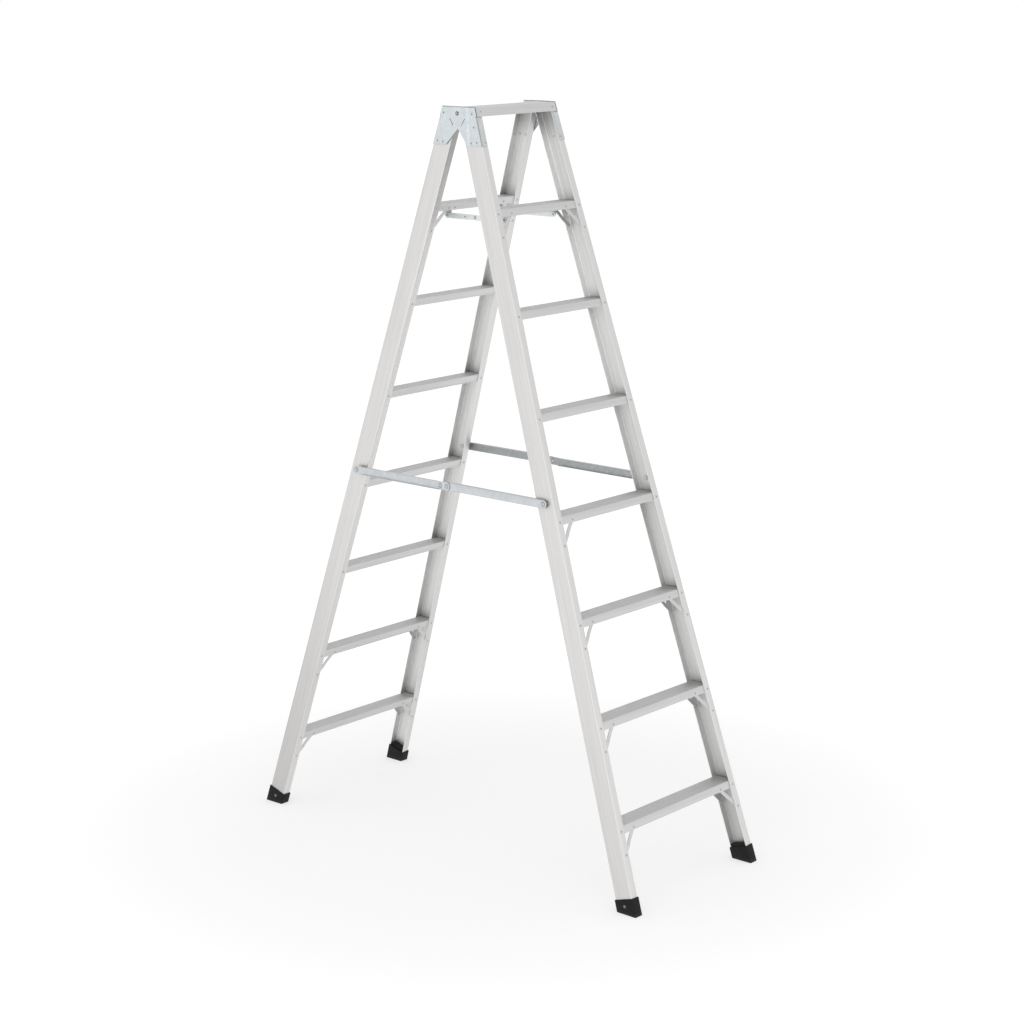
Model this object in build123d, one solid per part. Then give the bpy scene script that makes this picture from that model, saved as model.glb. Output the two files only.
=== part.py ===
"""Double-sided aluminium step ladder, standing open on four rubber boots.

Millimetres. +X is across the ladder, +Y runs from the front frame to the rear frame, +Z is up, and the
origin is on the floor under the hinge line. Pieces are drawn at the front left and mirrored from there.
"along" is a distance up the slope of a frame, and "depth" is a distance in from its outer flange face.
"""
import os
from math import asin, atan2, cos, degrees, radians, sin, sqrt, tan

from build123d import *

# Stance of the two frames
lean = 17.3               # degrees that each frame leans from upright
taper = 2.8               # degrees that each rail closes in towards the top
base_half_width = 294.0   # middle to the outer web face, at the floor
hinge_half_gap = 2.3      # hinge line to the inner flange, at the pivot

# Rails, open channels with the web outwards
rail_depth = 61.0
rail_flange = 26.0
rail_web_wall = 2.0
rail_flange_wall = 2.2
rail_corner = 1.5
rail_top_drop = 7.0       # square-cut end below the top tread, along the frame

# Treads, ribbed channels that hang between the flanges
step_count = 7            # in each frame; the front frame has a top tread as well
first_step = 259.0        # floor to the first tread, along the frame
step_pitch = 300.0        # tread to tread, along the frame
skirt_drop = 22.0
top_skirt_drop = 26.0     # the top tread's, whose front skirt laps over the flanges
skirt_wall = 2.0
tread_wall = 2.2
tread_chamfer = 1.0
rib_count = 10
rib_height = 0.8
rib_share = 0.6           # rib width over rib pitch
step_gap = 0.1            # skirt to flange
step_end_gap = 0.5        # tread end to web
top_end_gap = 0.3         # top tread's end, inside the outer web face

# Blind rivets, each with the small eye that its mandrel leaves
rivet_radius = 2.4
rivet_head_radius = 4.6
rivet_head_height = 1.5
rivet_eye_radius = 1.2
rivet_eye_depth = 0.9
rivet_tail_radius = 3.4
rivet_tail_height = 1.6
rivet_slack = 0.05
drill_reach = 10.0        # hole cutters, each way from a rivet's seat
step_rivet_inset = 13.0   # from the outer web face
step_rivet_drop = 13.0    # below the tread
top_rivet_inset = 20.0

# Braces, flat strips from the skirt down to the flange
brace_width = 12.0
brace_wall = 2.0
brace_reach = 46.0        # upper rivet, inboard of the flange edge
brace_seat = 12.0         # lower rivet, inside the flange edge
brace_upper_drop = 14.0   # below the tread
brace_lower_drop = 78.0
brace_bend_start = 32.0   # from the lower rivet
brace_bend_end = 54.0
front_left_braced = (1, 2, 3, 4, 7)
front_right_braced = (1, 2, 3, 7)
rear_braced = (1, 2, 7)

# Boots, cups round the rail with a core inside the channel
boot_wall = 3.0
boot_top = 55.0           # along the rail
boot_corner = 2.5
boot_fit = 0.15
sole = 6.0
core_rise = 9.0           # core above the cup
core_recess = 2.0         # core in from the channel's mouth, above the cup
boot_rivet_along = 34.0
tail_room = 0.3           # round a rivet tail in the core

# Hinge plates; their heights are from the pivot
pivot_drop = 18.3         # below the top tread
plate_wall = 2.0
plate_rise = 20.0
plate_drop = 91.0
plate_return = 22.0       # over the outer flange
plate_return_top = -8.5   # under the top tread's skirt
plate_corner_reach = 43.0  # lower inner corner, from the hinge line
notch_drop = 46.0         # open V between the plates
notch_reach = 5.0         # its corner on the front plate, before the hinge line
rear_plate_gap = 0.7      # off the rear web, so it clears the front web
tongue_lift = 4.4         # front plate lifted over the rear plate
tongue_reach = 36.0       # past the hinge line
tongue_shoulder = 33.0    # where the lift starts, before the hinge line
tongue_corner_drop = 36.0
slit_width = 2.0
slit_upper = (29.0, -15.5)  # away from the hinge line, height
slit_lower = (16.5, -34.0)
plate_rivet_outer_top = (11.0, 0.0)  # depth, height
plate_rivet_middle = (14.0, -38.0)
plate_rivet_outer_low = (14.0, -81.0)
plate_rivet_inner_low = (35.0, -83.0)
return_rivet_inset = 16.0  # from the outer web face
return_rivet_drop = 81.0

# Hinge pivots, rivets whose setting tool left a ring in the head
pivot_radius = 4.0
pivot_ring_inner = 3.0
pivot_ring_outer = 5.2
pivot_ring_depth = 1.5
pivot_head_radius = 6.5
pivot_head_height = 2.0
pivot_tail_radius = 6.0
pivot_tail_height = 2.0
pivot_seat_gap = 0.5
running_slack = 0.05

# Lower spreaders, two folding steel channels a side, outside the webs
spreader_along = 1208.0
spreader_height = 25.0
spreader_lip = 8.0
spreader_wall = 1.6
spreader_web_gap = 1.4    # lip edges to the rail's web
spreader_gap = 0.4        # between the two links
lip_cut_back = 24.0       # from each pivot
link_rivet_radius = 4.0
link_head_radius = 7.0
link_head_height = 2.2
link_shoulder_radius = 6.5
link_shoulder_gap = 0.4
link_seat_gap = 0.2
joint_stop_reach = 25.0   # stop rivet, from the middle joint

# Upper stays, two folding straps a side, hung under the seventh tread
stay_step = 7
stay_inset = 6.5          # faces that the straps share, inboard of the brace ends
stay_depth = 45.0
stay_drop = 38.0          # pivot below the tread
stay_height = 16.0
stay_wall = 2.0
stay_gap = 0.4
stay_stop_reach = 42.0
bracket_wall = 2.0
bracket_tab_top = 32.0    # above the pivot, along the frame
bracket_leg_low = 20.0
bracket_leg_top = 37.0
bracket_leg_width = 17.0
bracket_rivet_rise = 29.0
bracket_fit = 0.1

lean_sin = sin(radians(lean))
lean_cos = cos(radians(lean))
lean_tan = tan(radians(lean))
taper_tan = tan(radians(taper))
taper_cos = cos(radians(taper))
top_step = step_count + 1
top_along = first_step + step_count * step_pitch
pivot_height = top_along * lean_cos - pivot_drop
half_spread = pivot_height * lean_tan + rail_depth / lean_cos + hinge_half_gap
front_place = Location((0, -half_spread, 0), (-lean, 0, 0))
left_rail_place = front_place * Location((-base_half_width, 0, 0), (0, taper, 0))
inward = Vector(0, lean_cos, -lean_sin)
outward = (left_rail_place * Pos(-1, 0, 0)).position - left_rail_place.position
skirt_front = rail_flange_wall + step_gap
skirt_back = rail_depth - rail_flange_wall - step_gap
top_skirt_front = -step_gap - skirt_wall


def along_at(height, depth):
    """Distance along the frame of a height, at a depth."""
    return (height + depth * lean_sin) / lean_cos


def frame_point(x, depth, along):
    """World point of a place in the front frame."""
    return Vector(x, along * lean_sin + depth * lean_cos - half_spread, along * lean_cos - depth * lean_sin)


def frame_y(depth, height):
    """World Y of a depth in the front frame, at a height."""
    return height * lean_tan + depth / lean_cos - half_spread


def left_web(along):
    """World X of the left rail's outer web face."""
    return along * taper_tan - base_half_width


def tread_height(step):
    return (first_step + (step - 1) * step_pitch) * lean_cos


def to_right(solids):
    return [solid.mirror(Plane.YZ) for solid in solids]


def to_rear(solids):
    return [solid.mirror(Plane.XZ) for solid in solids]


def aimed(solid, point, direction):
    """The solid, drawn up the Z axis, moved to a point and turned to a direction."""
    return solid.moved(Location(Plane(origin=point, z_dir=direction)))


def bore(radius, point, direction):
    """A cutter for a hole through whatever lies near the point."""
    cutter = Solid.make_cylinder(radius, 2 * drill_reach, Plane.XY.offset(-drill_reach))
    return aimed(cutter, point, direction)


def drilled(solid, holes):
    return (Part() + solid - holes).solid()


def turned(head_radius, head_height, steps, eye_radius=0.0, eye_depth=0.0):
    """A dome-head rivet: the head sits on z = 0, and steps of (radius, reach) follow it down."""
    dome = (head_radius**2 + head_height**2) / (2 * head_height)
    centre = head_height - dome
    eye_rim = centre + sqrt(dome**2 - eye_radius**2)
    middle = (asin(head_radius / dome) + asin(eye_radius / dome)) / 2
    crown = (dome * sin(middle), centre + dome * cos(middle))
    points = [(head_radius, 0)]
    start = 0
    for radius, reach in steps:
        points.append((radius, -start))
        points.append((radius, -reach))
        start = reach
    points.append((0, -start))
    points.append((0, head_height - eye_depth))
    if eye_radius > 0:
        points.append((eye_radius, head_height - eye_depth))
        points.append((eye_radius, eye_rim))
    edges = ThreePointArc((eye_radius, eye_rim), crown, (head_radius, 0)) + Polyline(*points)
    return revolve(Plane.XZ * make_face(edges), axis=Axis.Z).solid()


def blind_rivet(grip):
    """A blind rivet set through a grip."""
    steps = [(rivet_radius, grip), (rivet_tail_radius, grip + rivet_tail_height)]
    return turned(rivet_head_radius, rivet_head_height, steps, rivet_eye_radius, rivet_eye_depth)


def set_rivets(grip, spots):
    return [aimed(blind_rivet(grip), point, direction) for point, direction in spots]


def rivet_holes(spots):
    return [bore(rivet_radius + rivet_slack, point, direction) for point, direction in spots]


def step_spots(step):
    """Left-hand step rivets: one through the outer flange and one through the inner flange."""
    height = tread_height(step) - step_rivet_drop
    spots = []
    for depth, direction in ((0, -inward), (rail_depth, inward)):
        along = along_at(height, depth)
        spots.append((frame_point(left_web(along) + step_rivet_inset, depth, along), direction))
    return spots


def top_spot():
    """Left-hand rivet through the top tread's front skirt and the outer flange."""
    depth = top_skirt_front
    along = along_at(tread_height(top_step) - step_rivet_drop, depth)
    return frame_point(left_web(along) + top_rivet_inset, depth, along), -inward


def brace_ends(step, depth):
    """Left-hand brace rivets as (x, along): the upper one on the skirt, the lower one on the flange."""
    upper = along_at(tread_height(step) - brace_upper_drop, depth)
    lower = along_at(tread_height(step) - brace_lower_drop, depth)
    upper_x = left_web(upper) + rail_flange + brace_reach
    lower_x = left_web(lower) + rail_flange - brace_seat
    return (upper_x, upper), (lower_x, lower)


def brace_spots(step):
    """Left-hand brace rivets on the outer and the inner side, as upper spots and lower spots."""
    uppers = []
    lowers = []
    for face, skirt, direction in ((0, skirt_front, -inward), (rail_depth, skirt_back, inward)):
        (upper_x, upper), (lower_x, lower) = brace_ends(step, face)
        uppers.append((frame_point(upper_x, skirt, upper), direction))
        lowers.append((frame_point(lower_x, face, lower), direction))
    return uppers, lowers


def brace(step, face, direction):
    """A left-hand strip that lies on the skirt's inner face, and steps out to lie on the flange's."""
    (upper_x, upper), (lower_x, lower) = brace_ends(step, face)
    start = frame_point(lower_x, face, lower)
    run = frame_point(upper_x, face, upper) - start
    low = rail_flange_wall
    high = rail_flange_wall + step_gap + skirt_wall
    end = brace_width / 2
    edge = [(-end, low), (brace_bend_start, low), (brace_bend_end, high), (run.length + end, high)]
    other = [(reach, depth + brace_wall) for reach, depth in reversed(edge)]
    side = Plane(origin=start, x_dir=run, z_dir=run.cross(direction))
    bent = extrude(make_face(side * Polyline(*edge, *other, close=True)), amount=brace_width, both=True)
    flat = Plane(origin=start, x_dir=run, z_dir=direction) * Pos(run.length / 2, 0)
    outline = extrude(flat * SlotCenterToCenter(run.length, brace_width), amount=high + brace_wall)
    uppers, lowers = brace_spots(step)
    return drilled((bent & outline).solid(), rivet_holes(uppers + lowers))


def braces(steps):
    strips = []
    for step in steps:
        strips.append(brace(step, 0, inward))
        strips.append(brace(step, rail_depth, -inward))
    return strips


def frame_rivets(braced):
    """Left-hand rivets that hold the treads and the braces."""
    rivets = []
    for step in range(1, step_count + 1):
        rivets += set_rivets(rail_flange_wall + step_gap + skirt_wall, step_spots(step))
    for step in braced:
        uppers, lowers = brace_spots(step)
        rivets += set_rivets(skirt_wall + brace_wall, uppers)
        rivets += set_rivets(rail_flange_wall + brace_wall, lowers)
    return rivets


def channel(fit=0.0):
    """Rail section, with a fit added all round for the groove in a boot."""
    width = rail_flange + 2 * fit
    depth = rail_depth + 2 * fit
    web = rail_web_wall + 2 * fit
    flange = rail_flange_wall + 2 * fit
    block = Rectangle(width, depth, align=Align.MIN)
    mouth = Pos(web, flange) * Rectangle(width, depth - 2 * flange, align=Align.MIN)
    section = block - mouth
    return Pos(-fit, -fit) * fillet(section.vertices().group_by(Axis.X)[0], rail_corner)


def sloped_bar(section, bottom, top):
    """A section run up the left rail, cut level at the bottom and square at the top."""
    under = rail_depth
    bar = left_rail_place * Pos(0, 0, -under) * extrude(section, amount=top + under)
    return split(bar, bisect_by=Plane.XY.offset(bottom), keep=Keep.TOP)


def rail(holes):
    """The front left rail, drilled."""
    return drilled(sloped_bar(channel(), sole, (top_along - rail_top_drop) / taper_cos).solid(), holes)


def rail_holes(braced, web_spots, fold_spots):
    """Holes of a left-hand rail."""
    spots = web_spots + fold_spots + [boot_spot()]
    for step in range(1, step_count + 1):
        spots = spots + step_spots(step)
    for step in braced:
        spots = spots + brace_spots(step)[1]
    spreader_hole = bore(link_rivet_radius + running_slack, spreader_pivot(), Vector(1, 0, 0))
    return rivet_holes(spots) + [spreader_hole]


def tread_section(step, front, drop):
    """Section of a tread in YZ: ribbed top, and skirts that follow the lean of the flanges."""
    top = tread_height(step)
    low = top - drop
    groove = top - rib_height
    under = groove - tread_wall
    edge = top - tread_chamfer
    first = frame_y(front, top) + tread_chamfer
    last = frame_y(skirt_back, top) - tread_chamfer
    pitch = (last - first) / (rib_count - 1 + rib_share)
    points = [(frame_y(front, low), low), (frame_y(front, edge), edge), (first, top)]
    for rib in range(1, rib_count):
        start = first + rib * pitch
        end = start - (1 - rib_share) * pitch
        points += [(end, top), (end, groove), (start, groove), (start, top)]
    points += [(last, top), (frame_y(skirt_back, edge), edge), (frame_y(skirt_back, low), low)]
    for depth, heights in ((skirt_back - skirt_wall, (low, under)), (front + skirt_wall, (under, low))):
        points += [(frame_y(depth, height), height) for height in heights]
    return make_face(Plane.YZ * Polyline(*points, close=True))


def tread(step, holes, front=skirt_front, drop=skirt_drop, end_inset=rail_web_wall + step_end_gap):
    """A front tread, cut at each end to the slope of the web."""
    bar = extrude(tread_section(step, front, drop), amount=base_half_width, both=True)
    end = Plane(left_rail_place * Location((end_inset, 0, 0), (0, -90, 0)))
    one_end = split(bar, bisect_by=end, keep=Keep.BOTTOM).solid().mirror(Plane.YZ)
    return drilled(split(one_end, bisect_by=end, keep=Keep.BOTTOM).solid(), holes)


def top_tread():
    """The top tread: over the rail ends, front skirt outside the flanges, back skirt between the webs."""
    short = 2 * (rail_web_wall + step_end_gap)
    under = tread_height(top_step) - rib_height - tread_wall
    corner = Box(short, rail_depth / 2, rail_depth, align=(Align.CENTER, Align.MAX, Align.MAX))
    cuts = rivet_holes([top_spot()]) + [(Pos(left_web(top_along), 0, under) * corner).solid()]
    return tread(top_step, cuts + to_right(cuts), top_skirt_front, top_skirt_drop, top_end_gap)


def tread_holes(step, left_braced, right_braced, bracket_x):
    """Holes of a front tread, both ends."""
    left = step_spots(step)
    right = step_spots(step)
    if step in left_braced:
        left += brace_spots(step)[0]
    if step in right_braced:
        right += brace_spots(step)[0]
    if step == stay_step:
        left.append(bracket_spot(bracket_x))
        right.append(bracket_spot(bracket_x))
    return rivet_holes(left) + to_right(rivet_holes(right))


def boot():
    """The front left boot: a cup round the rail with a core that fills the channel, flat on the floor."""
    cup = Pos(-boot_wall, -boot_wall) * Rectangle(
        rail_flange + 2 * boot_wall, rail_depth + 2 * boot_wall, align=Align.MIN)
    core_start = rail_web_wall + boot_fit
    core_side = rail_flange_wall + boot_fit
    core = Pos(core_start, core_side) * Rectangle(
        rail_flange - core_recess - core_start, rail_depth - 2 * core_side, align=Align.MIN)
    body = sloped_bar(fillet(cup.vertices(), boot_corner), 0, boot_top)
    body -= sloped_bar(channel(boot_fit), sole, boot_top + sole)
    body += sloped_bar(core, 0, boot_top + core_rise)
    tail = Cylinder(rivet_tail_radius + tail_room, rivet_tail_height + tail_room + boot_fit,
                    align=(Align.CENTER, Align.CENTER, Align.MIN))
    tail_place = left_rail_place * Pos(rail_web_wall, rail_depth / 2, boot_rivet_along) * Rot(0, 90, 0)
    return drilled(body.solid(), rivet_holes([boot_spot()]) + [(tail_place * tail).solid()])


def boot_spot():
    """Rivet through the boot's side into the web."""
    return (left_rail_place * Pos(-boot_wall, rail_depth / 2, boot_rivet_along)).position, outward


def hinge_spot(away, rise):
    """Place on the left web as (depth, up the rail), from a distance to the hinge line and a height."""
    reach = half_spread - away
    height = pivot_height + rise
    return reach * lean_cos - height * lean_sin, (reach * lean_sin + height * lean_cos) / taper_cos


def web_spot(depth, rise):
    """Place on the left web as (depth, up the rail), from a depth and a height over the pivot."""
    return depth, along_at(pivot_height + rise, depth) / taper_cos


def plate_layer(spots, offset, wall=plate_wall):
    """A flat piece of plate outside the left web, from an outline of (depth, up the rail) places."""
    face = make_face(Plane.YZ * Polyline(*spots, close=True))
    return left_rail_place * Pos(-offset, 0, 0) * extrude(face, amount=-wall)


def plate_fold(offset):
    """The part of a hinge plate that folds round over the outer flange."""
    low = web_spot(-plate_wall, -plate_drop)[1]
    high = web_spot(-plate_wall, plate_return_top)[1]
    block = Box(plate_return + plate_wall + offset, plate_wall, high - low, align=Align.MIN)
    return left_rail_place * Pos(-plate_wall - offset, -plate_wall, low) * block


def slit(side):
    """A pressed slit beside the pivot; side 1 is towards the front, -1 towards the rear."""
    start = Vector(*hinge_spot(side * slit_upper[0], slit_upper[1]))
    end = Vector(*hinge_spot(side * slit_lower[0], slit_lower[1]))
    run = end - start
    middle = (start + end) / 2
    place = Pos(middle.X, middle.Y) * Rot(0, 0, degrees(atan2(run.Y, run.X)))
    cut = extrude(Plane.YZ * place * SlotCenterToCenter(run.length, slit_width), amount=-plate_wall)
    return (left_rail_place * Pos(-tongue_lift, 0, 0) * cut).solid()


def web_spots(offset, spots):
    """Left-hand rivets through a hinge plate and the web, from places of (depth, height)."""
    points = [left_rail_place * Pos(-offset - plate_wall, *web_spot(*spot)) for spot in spots]
    return [(point.position, outward) for point in points]


def fold_spot():
    """Left-hand rivet through a hinge plate's fold and the outer flange."""
    along = along_at(pivot_height - return_rivet_drop, -plate_wall)
    return frame_point(left_web(along) + return_rivet_inset, -plate_wall, along), -inward


def pivot_web():
    """World X of the left web's outer face, at the pivot."""
    return left_web(half_spread * lean_sin + pivot_height * lean_cos)


def pivot_line(radius):
    """A cutter across the left hinge on the pivot axis."""
    return bore(radius, Vector(pivot_web(), 0, pivot_height), Vector(1, 0, 0))


def front_plate(holes):
    """Front left hinge plate: flat on the front web, with a tongue lifted over the rear plate."""
    shoulder_low = hinge_spot(plate_corner_reach, -plate_drop)
    shoulder_high = hinge_spot(tongue_shoulder, plate_rise)
    outer_high = web_spot(-plate_wall, plate_rise)
    outer_low = web_spot(-plate_wall, -plate_drop)
    seat = [outer_high, outer_low, shoulder_low, shoulder_high]
    tongue = [
        shoulder_low, hinge_spot(notch_reach, -notch_drop), hinge_spot(-tongue_reach, -tongue_corner_drop),
        hinge_spot(-tongue_reach, plate_rise), shoulder_high,
    ]
    joggle = [
        shoulder_low, shoulder_high, hinge_spot(tongue_shoulder + plate_wall, plate_rise),
        hinge_spot(plate_corner_reach + plate_wall, -plate_drop),
    ]
    body = plate_layer(seat, 0) + plate_layer(tongue, tongue_lift)
    body += plate_layer(joggle, 0, tongue_lift + plate_wall) + plate_fold(0)
    cuts = [slit(1), slit(-1), pivot_line(pivot_radius + running_slack)]
    return drilled(body.solid(), cuts + holes)


def rear_plate(holes):
    """Rear left hinge plate, drawn in the front frame's place: flat, with a round ear on the pivot."""
    outline = [
        web_spot(-plate_wall, plate_rise), web_spot(-plate_wall, -plate_drop),
        hinge_spot(plate_corner_reach, -plate_drop), hinge_spot(0, -notch_drop),
        hinge_spot(-plate_rise, 0), hinge_spot(0, plate_rise),
    ]
    ear = extrude(Plane.YZ * Pos(*hinge_spot(0, 0)) * Circle(plate_rise), amount=-plate_wall)
    body = plate_layer(outline, rear_plate_gap) + left_rail_place * Pos(-rear_plate_gap, 0, 0) * ear
    body += plate_fold(rear_plate_gap)
    return drilled(body.solid(), [pivot_line(pivot_radius + running_slack)] + holes)


def pivot_rivet():
    """Left hinge pivot: head over the tongue, with a ring pressed into it, and tail inside the rear plate."""
    head_seat = pivot_web() - tongue_lift - plate_wall - pivot_seat_gap
    grip = pivot_web() - rear_plate_gap + pivot_seat_gap - head_seat
    steps = [(pivot_radius, grip), (pivot_tail_radius, grip + pivot_tail_height)]
    body = turned(pivot_head_radius, pivot_head_height, steps)
    ring = Cylinder(pivot_ring_outer, pivot_head_height) - Cylinder(pivot_ring_inner, pivot_head_height)
    ring_rise = 1.5 * pivot_head_height - pivot_ring_depth
    ringed = drilled(body, [ring.moved(Pos(0, 0, ring_rise)).solid()])
    return aimed(ringed, Vector(head_seat, 0, pivot_height), Vector(-1, 0, 0))


def spreader_pivot():
    """Left-hand spreader pivot on the outer web face."""
    return frame_point(left_web(spreader_along), rail_depth / 2, spreader_along)


def spreader_link(stand, lip_start, holes_at):
    """A left-hand spreader link in the front frame's place: a rounded strip with a lip along each edge.

    stand is the strip's outer face from the web, and lip_start is the lips' outer edge from that face.
    """
    pivot = spreader_pivot()
    length = -pivot.Y
    strip = extrude(Pos(length / 2, 0) * SlotCenterToCenter(length, spreader_height), amount=spreader_wall)
    lip = Box(length - 2 * lip_cut_back, spreader_wall, spreader_lip, align=(Align.MIN, Align.MAX, Align.MIN))
    upper_lip = Pos(lip_cut_back, spreader_height / 2, lip_start) * lip
    link = strip + upper_lip + upper_lip.mirror(Plane.XZ)
    hole = Cylinder(link_rivet_radius + running_slack, 2 * drill_reach)
    link -= [Pos(reach, 0) * hole for reach in holes_at]
    place = Plane(origin=(pivot.X - stand, pivot.Y, pivot.Z), x_dir=(0, 1, 0), z_dir=(1, 0, 0))
    return (place * link).solid()


def link_rivet(stand):
    """Left-hand rail rivet of a spreader, with a shoulder that holds the link off the web."""
    link_end = 2 * link_seat_gap + spreader_wall
    shoulder_end = link_seat_gap + stand - link_shoulder_gap
    tail_start = shoulder_end + 2 * link_shoulder_gap + rail_web_wall
    steps = [
        (link_rivet_radius, link_end), (link_shoulder_radius, shoulder_end),
        (link_rivet_radius, tail_start), (link_shoulder_radius, tail_start + link_head_height),
    ]
    head = spreader_pivot() - Vector(stand + link_seat_gap, 0, 0)
    return aimed(turned(link_head_radius, link_head_height, steps), head, Vector(-1, 0, 0))


def spreader_stud(stand, y, side):
    """A rivet set flush into one left-hand link; its head is outside for side -1 and inside for side 1."""
    stud = turned(link_head_radius, link_head_height, [(link_rivet_radius, spreader_wall)])
    pivot = spreader_pivot()
    seat = pivot.X - stand
    if side > 0:
        seat += spreader_wall
    return aimed(stud, Vector(seat, y, pivot.Z), Vector(side, 0, 0))


def stay_face():
    """World X of the faces that the left-hand straps share."""
    (brace_x, _), _ = brace_ends(stay_step, rail_depth)
    return brace_x + brace_width / 2 + stay_inset


def stay_pivot():
    """Stay pivot of the front frame as (along, world Y, world Z)."""
    along = along_at(tread_height(stay_step) - stay_drop, stay_depth)
    point = frame_point(0, stay_depth, along)
    return along, point.Y, point.Z


def stay_strap(x, holes_at):
    """A left-hand strap in the front frame's place, from its pivot to the middle; x is its outer face."""
    _, y, z = stay_pivot()
    strap = extrude(Pos(-y / 2, 0) * SlotCenterToCenter(-y, stay_height), amount=stay_wall)
    hole = Cylinder(rivet_radius + running_slack, 2 * drill_reach)
    strap -= [Pos(reach, 0) * hole for reach in holes_at]
    return (Plane(origin=(x, y, z), x_dir=(0, 1, 0), z_dir=(1, 0, 0)) * strap).solid()


def stay_bracket(x):
    """A left-hand angle bracket under the seventh tread; x is its tab's outer face."""
    along, y, z = stay_pivot()
    back = skirt_back - skirt_wall - bracket_fit
    radius = stay_height / 2
    tab = Pos(x, stay_depth - radius, along) * Box(
        bracket_wall, back - stay_depth + radius, bracket_tab_top, align=Align.MIN)
    tip = Pos(x, stay_depth, along) * Rot(0, 90, 0) * Cylinder(
        radius, bracket_wall, align=(Align.CENTER, Align.CENTER, Align.MIN))
    leg = Pos(x, back - bracket_wall, along + bracket_leg_low) * Box(
        bracket_leg_width, bracket_wall, bracket_leg_top - bracket_leg_low, align=Align.MIN)
    body = (front_place * (tab + tip + leg)).solid()
    pivot_hole = bore(rivet_radius + running_slack, Vector(x, y, z), Vector(1, 0, 0))
    return drilled(body, [pivot_hole] + rivet_holes([bracket_spot(x)]))


def bracket_spot(x):
    """Left-hand rivet through the inner skirt into a stay bracket."""
    along = stay_pivot()[0] + bracket_rivet_rise
    return frame_point(x + (bracket_wall + bracket_leg_width) / 2, skirt_back, along), inward


def stay_rivet(x, side):
    """Left-hand stay pivot; x is the tab face that its head sits on."""
    _, y, z = stay_pivot()
    grip = bracket_wall + stay_wall + 2 * link_seat_gap
    return aimed(blind_rivet(grip), Vector(x, y, z), Vector(side, 0, 0))


def stay_stud(x, y, side):
    """A rivet set flush into one left-hand strap; x is the strap face that its head sits on."""
    stud = turned(rivet_head_radius, rivet_head_height, [(rivet_radius, stay_wall)])
    return aimed(stud, Vector(x, y, stay_pivot()[2]), Vector(side, 0, 0))


def export(name, solids):
    export_step(Compound(list(solids)), f"parts/{name}.step")


def export_pair(left_name, right_name, solids):
    """A left-hand piece and its mirror image on the right."""
    export(left_name, solids)
    export(right_name, to_right(solids))


def export_both(name, solids):
    """Left-hand pieces and their mirror images, in one node."""
    export(name, solids + to_right(solids))


os.makedirs("parts", exist_ok=True)

# Rails
rear_plate_places = [plate_rivet_outer_top, plate_rivet_outer_low, plate_rivet_inner_low]
front_web_spots = web_spots(0, rear_plate_places + [plate_rivet_middle])
rear_web_spots = web_spots(rear_plate_gap, rear_plate_places)
fold_spots = [fold_spot()]
front_spots = fold_spots + [top_spot()]
front_left_rail = rail(rail_holes(front_left_braced, front_web_spots, front_spots))
front_right_rail = rail(rail_holes(front_right_braced, front_web_spots, front_spots))
rear_rail = rail(rail_holes(rear_braced, rear_web_spots, fold_spots))
export("front_left_rail", [front_left_rail])
export("front_right_rail", to_right([front_right_rail]))
export_pair("rear_left_rail", "rear_right_rail", to_rear([rear_rail]))

# Treads
strap_x = stay_face() - stay_wall
tab_x = strap_x - link_seat_gap - bracket_wall
rear_strap_x = stay_face() + stay_gap
rear_tab_x = rear_strap_x + stay_wall + link_seat_gap
for number in range(1, step_count + 1):
    front_holes = tread_holes(number, front_left_braced, front_right_braced, tab_x)
    rear_holes = tread_holes(number, rear_braced, rear_braced, rear_tab_x)
    export(f"front_step_{number}", [tread(number, front_holes)])
    export(f"rear_step_{number}", to_rear([tread(number, rear_holes)]))
export("top_step", [top_tread()])

# Braces, and the rivets of the frames
export("front_step_braces", braces(front_left_braced) + to_right(braces(front_right_braced)))
export_both("rear_step_braces", to_rear(braces(rear_braced)))
bracket_grip = skirt_wall + bracket_fit + bracket_wall
front_bracket_rivet = set_rivets(bracket_grip, [bracket_spot(tab_x)])
rear_bracket_rivet = set_rivets(bracket_grip, [bracket_spot(rear_tab_x)])
top_rivet = set_rivets(skirt_wall + step_gap + rail_flange_wall, [top_spot()])
front_left_rivets = frame_rivets(front_left_braced) + front_bracket_rivet + top_rivet
front_right_rivets = frame_rivets(front_right_braced) + front_bracket_rivet + top_rivet
export("front_frame_rivets", front_left_rivets + to_right(front_right_rivets))
export_both("rear_frame_rivets", to_rear(frame_rivets(rear_braced) + rear_bracket_rivet))

# Boots
boot_rivets = set_rivets(boot_wall + rail_web_wall, [boot_spot()])
export_pair("front_left_boot", "front_right_boot", [boot()])
export_pair("rear_left_boot", "rear_right_boot", to_rear([boot()]))
export_both("front_boot_rivets", boot_rivets)
export_both("rear_boot_rivets", to_rear(boot_rivets))

# Hinges
front_hinge_plate = front_plate(rivet_holes(front_web_spots + fold_spots))
rear_hinge_plate = rear_plate(rivet_holes(rear_web_spots + fold_spots))
export_pair("front_left_hinge_plate", "front_right_hinge_plate", [front_hinge_plate])
export_pair("rear_left_hinge_plate", "rear_right_hinge_plate", to_rear([rear_hinge_plate]))
web_grip = plate_wall + rail_web_wall
fold_grip = plate_wall + rail_flange_wall
front_hinge_rivets = set_rivets(web_grip, front_web_spots) + set_rivets(fold_grip, fold_spots)
rear_hinge_rivets = set_rivets(web_grip + rear_plate_gap, rear_web_spots) + set_rivets(fold_grip, fold_spots)
export_both("front_hinge_rivets", front_hinge_rivets)
export_both("rear_hinge_rivets", to_rear(rear_hinge_rivets))
export_both("hinge_pivots", [pivot_rivet()])

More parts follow.
